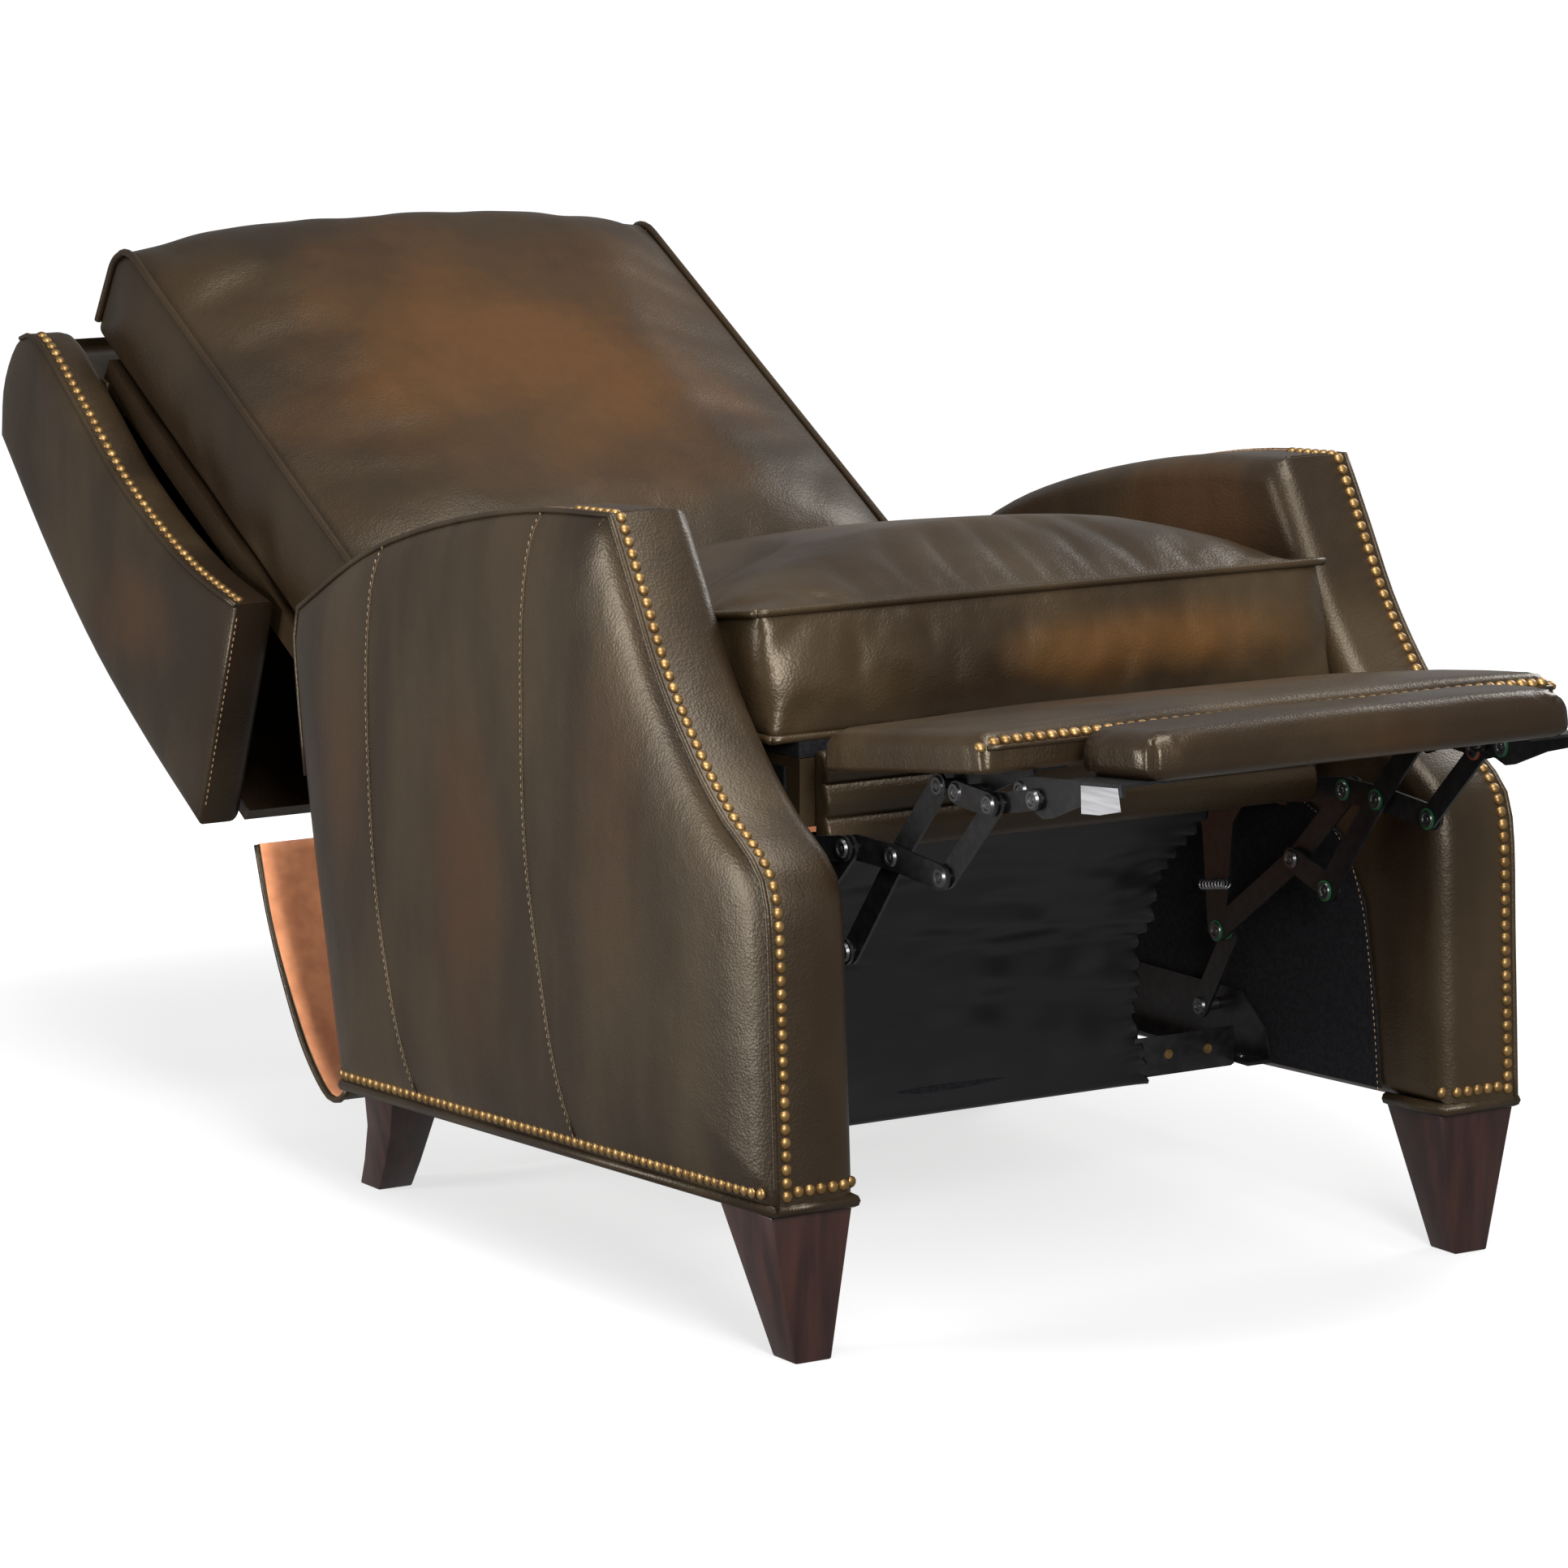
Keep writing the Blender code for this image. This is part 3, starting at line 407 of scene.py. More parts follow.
brass = bpy.data.materials.new("antique_brass")
brass.use_nodes = True
brass_tree = brass.node_tree
brass_shader = brass_tree.nodes["Principled BSDF"]
brass_place = brass_tree.nodes.new("ShaderNodeTexCoord").outputs["Object"]
brass_tree.links.new(colour_ramp(brass_tree, noise_texture(brass_tree, brass_place, 90.0),
                                 (0.20, 0.115, 0.040), (0.36, 0.22, 0.085), 0.3, 0.7),
                     brass_shader.inputs["Base Color"])
brass_shader.inputs["Metallic"].default_value = 0.85
brass_shader.inputs["Roughness"].default_value = 0.42

thread = bpy.data.materials.new("tan_thread")
thread.use_nodes = True
thread.node_tree.nodes["Principled BSDF"].inputs["Base Color"].default_value = (0.30, 0.19, 0.10, 1)
thread.node_tree.nodes["Principled BSDF"].inputs["Roughness"].default_value = 0.8

raw_hide = bpy.data.materials.new("raw_hide_edge")
raw_hide.use_nodes = True
raw_tree = raw_hide.node_tree
raw_place = raw_tree.nodes.new("ShaderNodeTexCoord").outputs["Object"]
raw_tree.links.new(colour_ramp(raw_tree, noise_texture(raw_tree, raw_place, 300.0),
                               (0.10, 0.048, 0.018), (0.30, 0.165, 0.075), 0.35, 0.65),
                   raw_tree.nodes["Principled BSDF"].inputs["Base Color"])
raw_tree.nodes["Principled BSDF"].inputs["Roughness"].default_value = 0.85

NAIL_STEP = 0.0108
RAW_EDGE = (0.290, 0.620)
PANEL_SEAMS = ([(0.531, 0.122), (0.556, 0.200), (0.580, 0.289), (0.592, 0.420), (0.592, 0.586)],
               [(0.268, 0.135), (0.300, 0.240), (0.328, 0.363), (0.333, 0.500), (0.328, 0.644)])

for word, side in (("left", -1), ("right", 1)):
    across = Vector((side, 0, 0))
    arm_leather = leather(
        f"arm_leather_{word}", DEEP, OLIVE, RUST,
        rubbed=((at(side * 0.39, 0.20, 0.42), (0.06, 0.07, 0.20), 0.5),
                (at(side * 0.39, 0.43, 0.33), (0.06, 0.08, 0.20), 0.75),
                (at(side * 0.39, 0.64, 0.38), (0.06, 0.06, 0.16), 0.6),
                (at(side * 0.29, 0.33, 0.60), (0.04, 0.16, 0.07), 0.7)),
        streaks=(1.0, 1.8, 0.5))
    arm = upholstered_side(arm_outline, side * ARM_OUT, side * ARM_IN, 0.022, 0.003, 0.019,
                           lambda e: arm_underside(sum(v.co.y for v in e.verts) / 2 - FRONT) + 0.004)
    arm_surface = BVHTree.FromBMesh(arm)
    piece(f"arm_leather_{word}", arm, [arm_leather], "base", 50, [f"arm_cover_{word}"])

    rim = outline_spots(arm_front_line[:-1] + arm_top_line + arm_rear_line[1:6], side * (ARM_OUT + 0.0005))
    piece(f"arm_welt_{word}", rolled_welt([p - out * 0.0012 for p, out in rim], 0.0026), [arm_leather],
          "base", 0)
    hem_line = [at(side * (ARM_OUT + 0.001), 0.676, arm_underside(0.676) + 0.002),
                at(side * (ARM_OUT + 0.001), -0.022, 0.1285), at(side * (ARM_IN + 0.006), -0.023, 0.1285),
                at(side * (ARM_IN + 0.001), 0.010, 0.1275), at(side * (ARM_IN + 0.001), 0.052, 0.126)]
    piece(f"arm_hem_{word}", rolled_welt(hem_line, 0.0055), [arm_leather], "base", 0)

    front_run = paced(through(ARM_FRONT, 0.004)[3:-1], NAIL_STEP)
    top_line = through(ARM_TOP, 0.004)
    top_run = paced([p for p in top_line if 0.230 < p.x < RAW_EDGE[0]], NAIL_STEP)
    nails = laid_on(arm_surface, outline_spots(front_run, side * (ARM_OUT - 0.0085)))
    nails += laid_on(arm_surface, outline_spots(top_run, side * (ARM_OUT - 0.0085)))
    foot_row = [at(side * (ARM_OUT - 0.0085 - NAIL_STEP * k), -0.02, 0.1425) for k in range(1, 7)]
    nails += laid_on(arm_surface, [(p, Vector((0, -1, 0))) for p in foot_row])
    low_row = paced([Vector((-0.010, 0.1415)), Vector((0.668, arm_underside(0.668) + 0.0135))], NAIL_STEP)
    nails += laid_on(arm_surface, [(at(side * 0.38, p.x, p.y), across) for p in low_row])
    piece(f"arm_nails_{word}", nail_row(nails), [brass], "base", 0)
    raw_run = [p for p in top_line if RAW_EDGE[0] < p.x < RAW_EDGE[1]]
    raw_spots = laid_on(arm_surface, outline_spots(raw_run, side * (ARM_OUT - 0.0050)))
    frayed = [p + out * 0.0006 * noise.noise(p * 260) + across * 0.0012 * noise.noise(p * 150)
              for p, out in raw_spots]
    piece(f"arm_raw_edge_{word}", rolled_welt(frayed, 0.0010), [raw_hide], "base", 0)
    corner_spots = [(at(side * (0.378 - 0.0045 * k), 0.2315, 0.670), Vector((0, 0, 1))) for k in range(15)]
    corner_seam = laid_on(arm_surface, corner_spots)
    piece(f"arm_corner_seam_{word}", rolled_welt([p for p, _ in corner_seam], 0.0012), [arm_leather],
          "base", 0)

    for count, seam in enumerate(PANEL_SEAMS, 1):
        line = [(at(side * 0.38, p.x, p.y), across) for p in through(seam, 0.012)]
        line = laid_on(arm_surface, line)
        ridge = rolled_welt([p + out * 0.0002 for p, out in line], 0.0011)
        piece(f"arm_seam_{word}_{count}", ridge, [arm_leather], "base", 0)
        thread_line = [(p + out * 0.0004 + Vector((0, 0.0026, 0)), out) for p, out in line]
        piece(f"arm_stitches_{word}_{count}", stitch_row(thread_line), [thread], "base", 0)


# ---- legs ---------------------------------------------------------------------------------------
# Solid hardwood, tapered and stained a dark espresso, with a satin lacquer. Each is bolted up into
# the corner of an arm's frame.
espresso = bpy.data.materials.new("espresso_lacquer")
espresso.use_nodes = True
wood_tree = espresso.node_tree
wood_shader = wood_tree.nodes["Principled BSDF"]
wood_place = wood_tree.nodes.new("ShaderNodeTexCoord").outputs["Object"]
wood_grain = noise_texture(wood_tree, wood_place, 70.0, 6.0, (1, 1, 0.12))
wood_tree.links.new(colour_ramp(wood_tree, wood_grain, (0.016, 0.0055, 0.0042), (0.042, 0.0145, 0.0100),
                                0.3, 0.72),
                    wood_shader.inputs["Base Color"])
wood_shader.inputs["Roughness"].default_value = 0.32
wood_pores = wood_tree.nodes.new("ShaderNodeBump")
wood_pores.inputs["Strength"].default_value = 0.12
wood_pores.inputs["Distance"].default_value = 0.0008
wood_tree.links.new(wood_grain, wood_pores.inputs["Height"])
wood_tree.links.new(wood_pores.outputs["Normal"], wood_shader.inputs["Normal"])


def wooden_leg(stations):
    """A square leg through (x, y, z, side) stations, from the floor up, with eased edges."""
    shape = bmesh.new()
    bmesh.ops.create_cube(shape, size=1.0)
    upper = [v for v in shape.verts if v.co.z > 0]
    lower = [v for v in shape.verts if v.co.z < 0]
    for count, (x, y, z, size) in enumerate(stations):
        if count > 1:
            made = bmesh.ops.extrude_discrete_faces(shape, faces=[top_face])
            upper = list(made["faces"][0].verts)
        ring_of = lower if count == 0 else upper
        middle = sum((v.co for v in ring_of), Vector()) / 4
        width = max(v.co.x for v in ring_of) - min(v.co.x for v in ring_of)
        for v in ring_of:
            offset = (v.co - middle) * size / width
            v.co = at(x + offset.x, y + offset.y, z)
        if count:
            top_face = next(f for f in shape.faces if set(f.verts) == set(ring_of))
    bmesh.ops.bevel(shape, geom=list(shape.edges), offset=0.0018, segments=2, profile=0.5,
                    affect="EDGES", material=-1)
    return shape


for word, side in (("left", -1), ("right", 1)):
    front = wooden_leg([(side * 0.333, 0.0, 0.0, 0.034), (side * 0.336, 0.020, 0.123, 0.077)])
    piece(f"front_leg_wood_{word}", front, [espresso], "base", 30, [f"front_leg_{word}"])
    rear = wooden_leg([(side * 0.317, 0.701, 0.0, 0.034), (side * 0.320, 0.684, 0.025, 0.037),
                       (side * 0.324, 0.664, 0.060, 0.042), (side * 0.330, 0.645, 0.0985, 0.052)])
    piece(f"rear_leg_wood_{word}", rear, [espresso], "base", 30, [f"rear_leg_{word}"])


# ---- seat cushion ---------------------------------------------------------------------------------
# A loose boxed cushion of foam in a sewn leather case, with a welt round its top and bottom edges.
# It is crowned in the middle, bulges between its welts, and lies flat on the seat deck.
def case_core(name, form):
    """The filled case before it swells; form turns its (across, along, up) shares into a place."""
    shape = bmesh.new()
    bmesh.ops.create_cube(shape, size=1.0)
    bmesh.ops.subdivide_edges(shape, edges=list(shape.edges), cuts=23, use_grid_fill=True)
    for v in shape.verts:
        v.co = form(v.co.x * 2, v.co.y + 0.5, v.co.z + 0.5)
    mesh = bpy.data.meshes.new(name)
    shape.to_mesh(mesh)
    shape.free()
    obj = bpy.data.objects.new(name, mesh)
    bpy.context.scene.collection.objects.link(obj)
    return obj


def fixed_mesh(obj):
    """Bakes what is on obj into its mesh."""
    baked = bpy.data.meshes.new_from_object(obj.evaluated_get(bpy.context.evaluated_depsgraph_get()))
    old = obj.data
    obj.modifiers.clear()
    obj.data = baked
    bpy.data.meshes.remove(old)


def case_edge(form, corners, count=60):
    """The places along a case's edge, which runs straight between corners given as shares."""
    line = []
    for a, b in zip(corners, corners[1:]):
        a, b = Vector(a), Vector(b)
        line += [form(*a.lerp(b, k / count)) for k in range(count)]
    return line + [form(*corners[-1])]


def stuffed(name, form, edges, place, side_limit, pressure=4.0, cap=0.022, voxel=0.0062, calm=4):
    """Swells a case by cloth simulation with its sewn edges held, and puts it in its place."""
    obj = case_core(name, form)
    remesh = obj.modifiers.new("even_mesh", "REMESH")
    remesh.mode = "VOXEL"
    remesh.voxel_size = voxel
    fixed_mesh(obj)
    rest = [v.co.copy() for v in obj.data.vertices]
    sewn = KDTree(sum(len(line) for line in edges))
    for i, spot in enumerate(spot for line in edges for spot in line):
        sewn.insert(spot, i)
    sewn.balance()
    under = min(p.z for p in rest) + 0.004
    fixed = {i for i, p in enumerate(rest) if p.z < under or sewn.find(p)[2] < 0.0085}
    obj.vertex_groups.new(name="held").add(list(fixed), 1.0, "REPLACE")
    cloth = obj.modifiers.new("case", "CLOTH")
    cloth.settings.quality = 5
    cloth.settings.mass = 0.25
    cloth.settings.tension_stiffness = 14
    cloth.settings.compression_stiffness = 14
    cloth.settings.bending_stiffness = 0.6
    cloth.settings.use_pressure = True
    cloth.settings.uniform_pressure_force = pressure
    cloth.settings.shrink_min = -0.03
    cloth.settings.vertex_group_mass = "held"
    cloth.settings.effector_weights.gravity = 0
    for frame_number in range(1, 21):
        bpy.context.scene.frame_set(frame_number)
    fixed_mesh(obj)
    bpy.context.scene.frame_set(1)
    for v, start in zip(obj.data.vertices, rest):
        moved = v.co - start
        if moved.length > cap:
            moved *= cap / moved.length
        v.co = start + moved
        v.co.x = max(-side_limit, min(side_limit, v.co.x))
    shape = bmesh.new()
    shape.from_mesh(obj.data)
    shape.verts.ensure_lookup_table()
    free = [v for v in shape.verts if v.index not in fixed]
    for _ in range(calm):
        bmesh.ops.smooth_vert(shape, verts=free, factor=0.5, use_axis_x=True, use_axis_y=True,
                              use_axis_z=True)
    shape.transform(place)
    shape.to_mesh(obj.data)
    shape.free()
    obj.data.shade_smooth()
    smoother = obj.modifiers.new("smooth", "SUBSURF")
    smoother.levels = smoother.render_levels = 1
    return obj


seat_leather = leather(
    "seat_cushion_leather", DEEP, OLIVE, AMBER,
    rubbed=((at(0.10, 0.11, 0.530), (0.20, 0.05, 0.045), 0.85),
            (at(0.0, 0.36, 0.60), (0.20, 0.16, 0.05), 0.25)),
    gloss=0.33, crease=0.3)
SEAT_HALF = 0.2850


def seat_case(s, t, r):
    """A boxed case, 100 mm deep in front and half of that behind, crowned and full between its edges."""
    front, rear = 0.119 + 0.021 * r, 0.598 - 0.004 * r
    full = 4 * r * (1 - r)
    end = (1 if t > 0.5 else -1) * abs(2 * t - 1) ** 12
    y = front + (rear - front) * t + end * 0.007 * full * (1 - s ** 4)
    crown = (1 - s * s) ** 0.8 * (1 - (2 * t ** 0.8 - 1) ** 4)
    z = 0.4765 + r * (0.1005 - 0.064 * t) + 0.040 * r ** 8 * crown
    return Vector((s * SEAT_HALF, y, z))


seat_place = Matrix.Translation((0, FRONT, 0))
seat_edges = [case_edge(seat_case, [(-1, 0, r), (1, 0, r), (1, 1, r), (-1, 1, r), (-1, 0, r)])
              for r in (0, 1)]
seat_pad = stuffed("seat_cushion_leather", seat_case, seat_edges, seat_place, 0.2895)
seat_pad.data.materials.append(seat_leather)
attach(seat_pad, "seat")
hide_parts("seat_cushion")
for word, line in zip(("bottom", "top"), seat_edges):
    piece(f"seat_cushion_welt_{word}", rolled_welt([seat_place @ p for p in line], 0.0036),
          [seat_leather], "seat", 0)

# ---- back cushion -----------------------------------------------------------------------------------
# One width of leather runs down the back's face and over its top edge, with a boxed panel welted in
# at each side. It is sewn to the back's frame, and its face is the most rubbed part of the whole hide.
BACK_RISE = math.radians(30.5)
along = Vector((0, math.cos(BACK_RISE), math.sin(BACK_RISE)))
outward = Vector((0, -math.sin(BACK_RISE), math.cos(BACK_RISE)))
BACK_THICK = 0.124
back_place = Matrix.Translation(at(0, 0.775, 0.535) - outward * BACK_THICK)
back_place = back_place @ Matrix((Vector((1, 0, 0)), along, outward)).transposed().to_4x4()
BACK_LENGTH, BACK_BELOW, BACK_ROUND = 0.543, 0.045, 0.036
BACK_DEPTH, BACK_HALF = 0.108, 0.2840
back_leather = leather(
    "back_cushion_leather", DEEP, (0.026, 0.0150, 0.0066), (0.080, 0.032, 0.0062),
    rubbed=((at(0.0, 1.00, 0.69), (0.30, 0.30, 0.22), 1.0), (at(0.20, 1.10, 0.76), (0.12, 0.16, 0.12), 0.4)),
    gloss=0.38, crease=0.30)


def back_case(s, t, r):
    """The same for the back: its top edge is rounded over, and its face and its end are crowned."""
    y, z = -BACK_BELOW + (BACK_LENGTH + BACK_BELOW) * t, 0.001 + BACK_DEPTH * r
    corner = Vector((y - (BACK_LENGTH - BACK_ROUND), z - (BACK_DEPTH - BACK_ROUND)))
    if corner.x > 0 and corner.y > 0:
        turned = corner.normalized() * max(corner)
        y, z = BACK_LENGTH - BACK_ROUND + turned.x, BACK_DEPTH - BACK_ROUND + turned.y
    middle = 1 - s ** 4
    z += 0.024 * middle * r ** 6 * (1 - (2 * t - 1) ** 6)
    y += 0.022 * middle * t ** 10 * min(1.0, r * 3)
    return Vector((s * BACK_HALF, y, z))


back_sides = [case_edge(back_case, [(s, 0, 1), (s, 1, 1), (s, 1, 0.12)]) for s in (-1, 1)]
back_ends = [case_edge(back_case, [(-1, 0, r), (1, 0, r)]) for r in (0, 1)]
back_pad = stuffed("back_cushion_leather", back_case, back_sides + back_ends, back_place, 0.2900,
                   pressure=2.5, calm=16)
back_pad.data.materials.append(back_leather)
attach(back_pad, "back")
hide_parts("back_cushion")
for word, line in zip(("left", "right"), back_sides):
    piece(f"back_cushion_welt_{word}", rolled_welt([back_place @ p for p in line], 0.0036),
          [back_leather], "back", 0)

# ---- wings and outside of the back ------------------------------------------------------------------
# A padded wing stands on each side of the back's frame, covered like the arms: one flat outside
# panel, a welt and a row of nails along its front edge, and a strip that rolls over to the cushion.
WING_OUT, WING_IN = 0.338, 0.2925
WING_FRONT = [(0.929, 0.493), (1.010, 0.514), (1.085, 0.545), (1.165, 0.590), (1.237, 0.644), (1.300, 0.690)]
WING_TOP = [(1.300, 0.690), (1.326, 0.702), (1.352, 0.699), (1.376, 0.680), (1.396, 0.645), (1.402, 0.600)]
WING_REAR = [(1.402, 0.600), (1.310, 0.503), (1.213, 0.416), (1.110, 0.344), (1.006, 0.280)]
wing_front_line = through(WING_FRONT, 0.022)
wing_outline = (wing_front_line + through(WING_TOP, 0.014)[1:] + through(WING_REAR, 0.03)[1:]
                + [Vector((0.980, 0.351)), Vector((0.954, 0.422))])
for word, side in (("left", -1), ("right", 1)):
    wing_leather = leather(f"back_wing_leather_{word}", DEEP, OLIVE, RUST,
                           rubbed=((at(side * 0.34, 1.13, 0.46), (0.05, 0.11, 0.07), 0.7),), streaks=(1, 1.5, 0.7))
    wing = upholstered_side(wing_outline, side * WING_OUT, side * WING_IN, 0.014, 0.003, 0.005, lambda e: 0.0)
    wing_surface = BVHTree.FromBMesh(wing)
    piece(f"back_wing_leather_{word}", wing, [wing_leather], "back", 50, [f"back_wing_{word}"])
    wing_edge = outline_spots(wing_front_line + through(WING_TOP, 0.014)[1:5], side * (WING_OUT + 0.0004))
    piece(f"back_wing_welt_{word}", rolled_welt([p - out * 0.0012 for p, out in wing_edge], 0.0024),
          [wing_leather], "back", 0)
    run = paced(through(WING_FRONT, 0.004) + through(WING_TOP, 0.004)[1:8], NAIL_STEP)
    nails = laid_on(wing_surface, outline_spots(run[1:], side * (WING_OUT - 0.0080)))
    piece(f"back_wing_nails_{word}", nail_row(nails), [brass], "back", 0)
    end_line = [at(side * (WING_OUT - 0.0035), 0.929 + 0.077 * k / 14, 0.493 - 0.213 * k / 14)
                for k in range(1, 14)]
    end_face = Vector((0, -0.213, -0.077)).normalized()
    piece(f"back_wing_stitches_{word}", stitch_row(laid_on(wing_surface, [(p, end_face) for p in end_line])),
          [thread], "back", 0)

panel_leather = leather("back_panel_leather", DEEP, OLIVE, RUST,
                        rubbed=((at(0.0, 1.22, 0.42), (0.24, 0.16, 0.16), 0.5),))
panel_line = [Vector((1.374, 0.682))] + through(WING_TOP, 0.014)[-3:] + through(WING_REAR, 0.03)[1:]
panel_shape = bmesh.new()
panel_face = panel_shape.faces.new([panel_shape.verts.new(at(-0.2910, p.x, p.y)) for p in
                                    panel_line + [p + Vector((-0.010, 0.010)) for p in panel_line[::-1]]])
panel_made = bmesh.ops.extrude_face_region(panel_shape, geom=[panel_face])
bmesh.ops.translate(panel_shape, vec=(0.582, 0, 0),
                    verts=[v for v in panel_made["geom"] if isinstance(v, bmesh.types.BMVert)])
bmesh.ops.triangulate(panel_shape, faces=[f for f in panel_shape.faces if len(f.verts) > 4])
piece("back_panel_leather", panel_shape, [panel_leather], "back", 35, ["back_outer_panel"])

TOP_STRIP = [(1.272, 0.650), (1.330, 0.670), (1.372, 0.676), (1.370, 0.684), (1.330, 0.679), (1.270, 0.659)]
strip_shape = bmesh.new()
strip_face = strip_shape.faces.new([strip_shape.verts.new(at(-0.2910, *p)) for p in TOP_STRIP])
strip_made = bmesh.ops.extrude_face_region(strip_shape, geom=[strip_face])
bmesh.ops.translate(strip_shape, vec=(0.582, 0, 0),
                    verts=[v for v in strip_made["geom"] if isinstance(v, bmesh.types.BMVert)])
bmesh.ops.bevel(strip_shape, geom=list(strip_shape.edges), offset=0.0012, segments=2, profile=0.5,
                affect="EDGES", material=-1)
piece("back_top_strip", strip_shape, [panel_leather], "back", 35)

# ---- seat front cover -------------------------------------------------------------------------------
# The leather that covers the seat's front rail is stapled round it in three soft bands.
cover_leather = leather("seat_front_leather", DEEP, OLIVE, RUST, gloss=0.36)
COVER_PROFILE = [(0.1130, 0.4655), (0.103, 0.4662), (0.0975, 0.461), (0.0955, 0.452), (0.0975, 0.443),
                 (0.1005, 0.4405), (0.0965, 0.437), (0.0935, 0.428), (0.0950, 0.417), (0.0990, 0.4125),
                 (0.0945, 0.408), (0.0920, 0.398), (0.0940, 0.388), (0.0990, 0.382), (0.1060, 0.3805),
                 (0.1130, 0.3805)]
cover_shape = bmesh.new()
cover_face = cover_shape.faces.new([cover_shape.verts.new(at(-0.2480, *p)) for p in COVER_PROFILE])
cover_made = bmesh.ops.extrude_face_region(cover_shape, geom=[cover_face])
bmesh.ops.translate(cover_shape, vec=(0.496, 0, 0),
                    verts=[v for v in cover_made["geom"] if isinstance(v, bmesh.types.BMVert)])
bmesh.ops.bevel(cover_shape, geom=[e for e in cover_shape.edges if abs(e.verts[0].co.x - e.verts[1].co.x) < 1e-6],
                offset=0.0035, segments=3, profile=0.5, affect="EDGES", material=-1)
bmesh.ops.triangulate(cover_shape, faces=[f for f in cover_shape.faces if len(f.verts) > 4])
piece("seat_front_leather", cover_shape, [cover_leather], "seat", 60, ["seat_front_cover"])


# ---- footrest and flap ------------------------------------------------------------------------------
# Both are boards with a thin layer of foam under leather. The footrest's front edge carries a row
# of nails over a narrow facing; the flap is rolled all round, with its corners gathered.
def padded_board(half, length, thick, round_top, round_low, crown, gather, cuts):
    """A soft slab in its own frame: x across, y from its rear edge to its front, z up from its board."""
    shape = bmesh.new()
    bmesh.ops.create_cube(shape, size=2.0)
    across = [e for e in shape.edges if abs(e.verts[0].co.x - e.verts[1].co.x) > 1]
    bmesh.ops.subdivide_edges(shape, edges=across, cuts=cuts[0], use_grid_fill=True)
    deep = [e for e in shape.edges if abs(e.verts[0].co.y - e.verts[1].co.y) > 1]
    bmesh.ops.subdivide_edges(shape, edges=deep, cuts=cuts[1], use_grid_fill=True)
    tall = [e for e in shape.edges if abs(e.verts[0].co.z - e.verts[1].co.z) > 1]
    bmesh.ops.subdivide_edges(shape, edges=tall, cuts=cuts[2], use_grid_fill=True)
    for v in shape.verts:
        s, t, r = v.co
        s, t = [math.copysign(abs(q) ** 0.72, q) for q in (s, t)]
        p = Vector((s * half, t * length / 2, (r + 1) / 2 * thick))
        reach = round_low + (round_top - round_low) * (r + 1) / 2
        core = Vector((max(-half + reach, min(half - reach, p.x)),
                       max(-length / 2 + reach, min(length / 2 - reach, p.y)),
                       max(round_low, min(thick - round_top, p.z))))
        out = p - core
        if out.length > 1e-6:
            p = core + out.normalized() * min(out.length, reach)
        top = max(0.0, r)
        p.z += crown * top * (1 - min(1, abs(p.x) / half) ** 3) * (1 - min(1, abs(2 * p.y / length)) ** 3)
        corner = max(0.0, 1 - (Vector((abs(p.x) - half, abs(p.y) - length / 2)).length / 0.05))
        turn = math.atan2(half - abs(p.x) + 0.012, length / 2 - abs(p.y) + 0.012)
        p += Vector((math.copysign(1, p.x), math.copysign(1, p.y), 0.4)) * (
            gather * corner * math.sin(turn * 26) - gather * corner * 0.8)
        dent = noise.noise(Vector((p.x * 9, p.y * 22, p.z * 9 + half * 40)))
        p.z += 0.0012 * dent * top
        v.co = p
    return shape


FOOT_SLOPE, FLAP_SLOPE = 0.13, 0.09
footrest_leather = leather("footrest_leather", DEEP, OLIVE, RUST,
                           rubbed=((at(0.0, -0.06, 0.52), (0.25, 0.06, 0.05), 0.4),),
                           gloss=0.32)
tilt = math.atan(FOOT_SLOPE)
foot_place = Matrix.Translation(at(0, (0.046 - 0.177) / 2, 0.462 + FOOT_SLOPE * 0.1115)) @ Matrix.Rotation(
    -tilt, 4, "X")
foot_pad = padded_board(0.283, 0.2255, 0.0335, 0.015, 0.002, 0.008, 0.0012, (46, 22, 7))
foot_pad.transform(foot_place)
foot_surface = BVHTree.FromBMesh(foot_pad)
foot = piece("footrest_leather", foot_pad, [footrest_leather], "footrest", 0,
             ["footrest_pad", "footrest_board"])
facing_up = (foot_place.to_3x3() @ Vector((0, -0.6, 0.8))).normalized()
foot_nails = []
for k in range(-26, 27):
    foot_nails.append((foot_place @ Vector((k * NAIL_STEP, -0.1095, 0.024)), facing_up))
piece("footrest_nails", nail_row(laid_on(foot_surface, foot_nails)), [brass], "footrest", 0)
edge_line = [foot_place @ Vector((0.2775 * k / 20, -0.1132, 0.0200)) for k in range(-20, 21)]
piece("footrest_welt", rolled_welt(edge_line, 0.0022), [footrest_leather], "footrest", 0)

flap_leather = leather("footrest_flap_leather", DEEP, OLIVE, RUST,
                       rubbed=((at(0.05, -0.26, 0.50), (0.10, 0.05, 0.03), 0.6),), gloss=0.30)
flap_place = Matrix.Translation(at(0, (-0.192 - 0.292) / 2, 0.4845 + FLAP_SLOPE * 0.050)) @ Matrix.Rotation(
    -math.atan(FLAP_SLOPE), 4, "X")
flap_shape = padded_board(0.205, 0.102, 0.0385, 0.018, 0.012, 0.003, 0.0016, (40, 16, 9))
flap_shape.transform(flap_place)
flap = piece("footrest_flap_leather", flap_shape, [flap_leather], "footrest_flap", 0,
             ["flap_pad", "flap_board"])

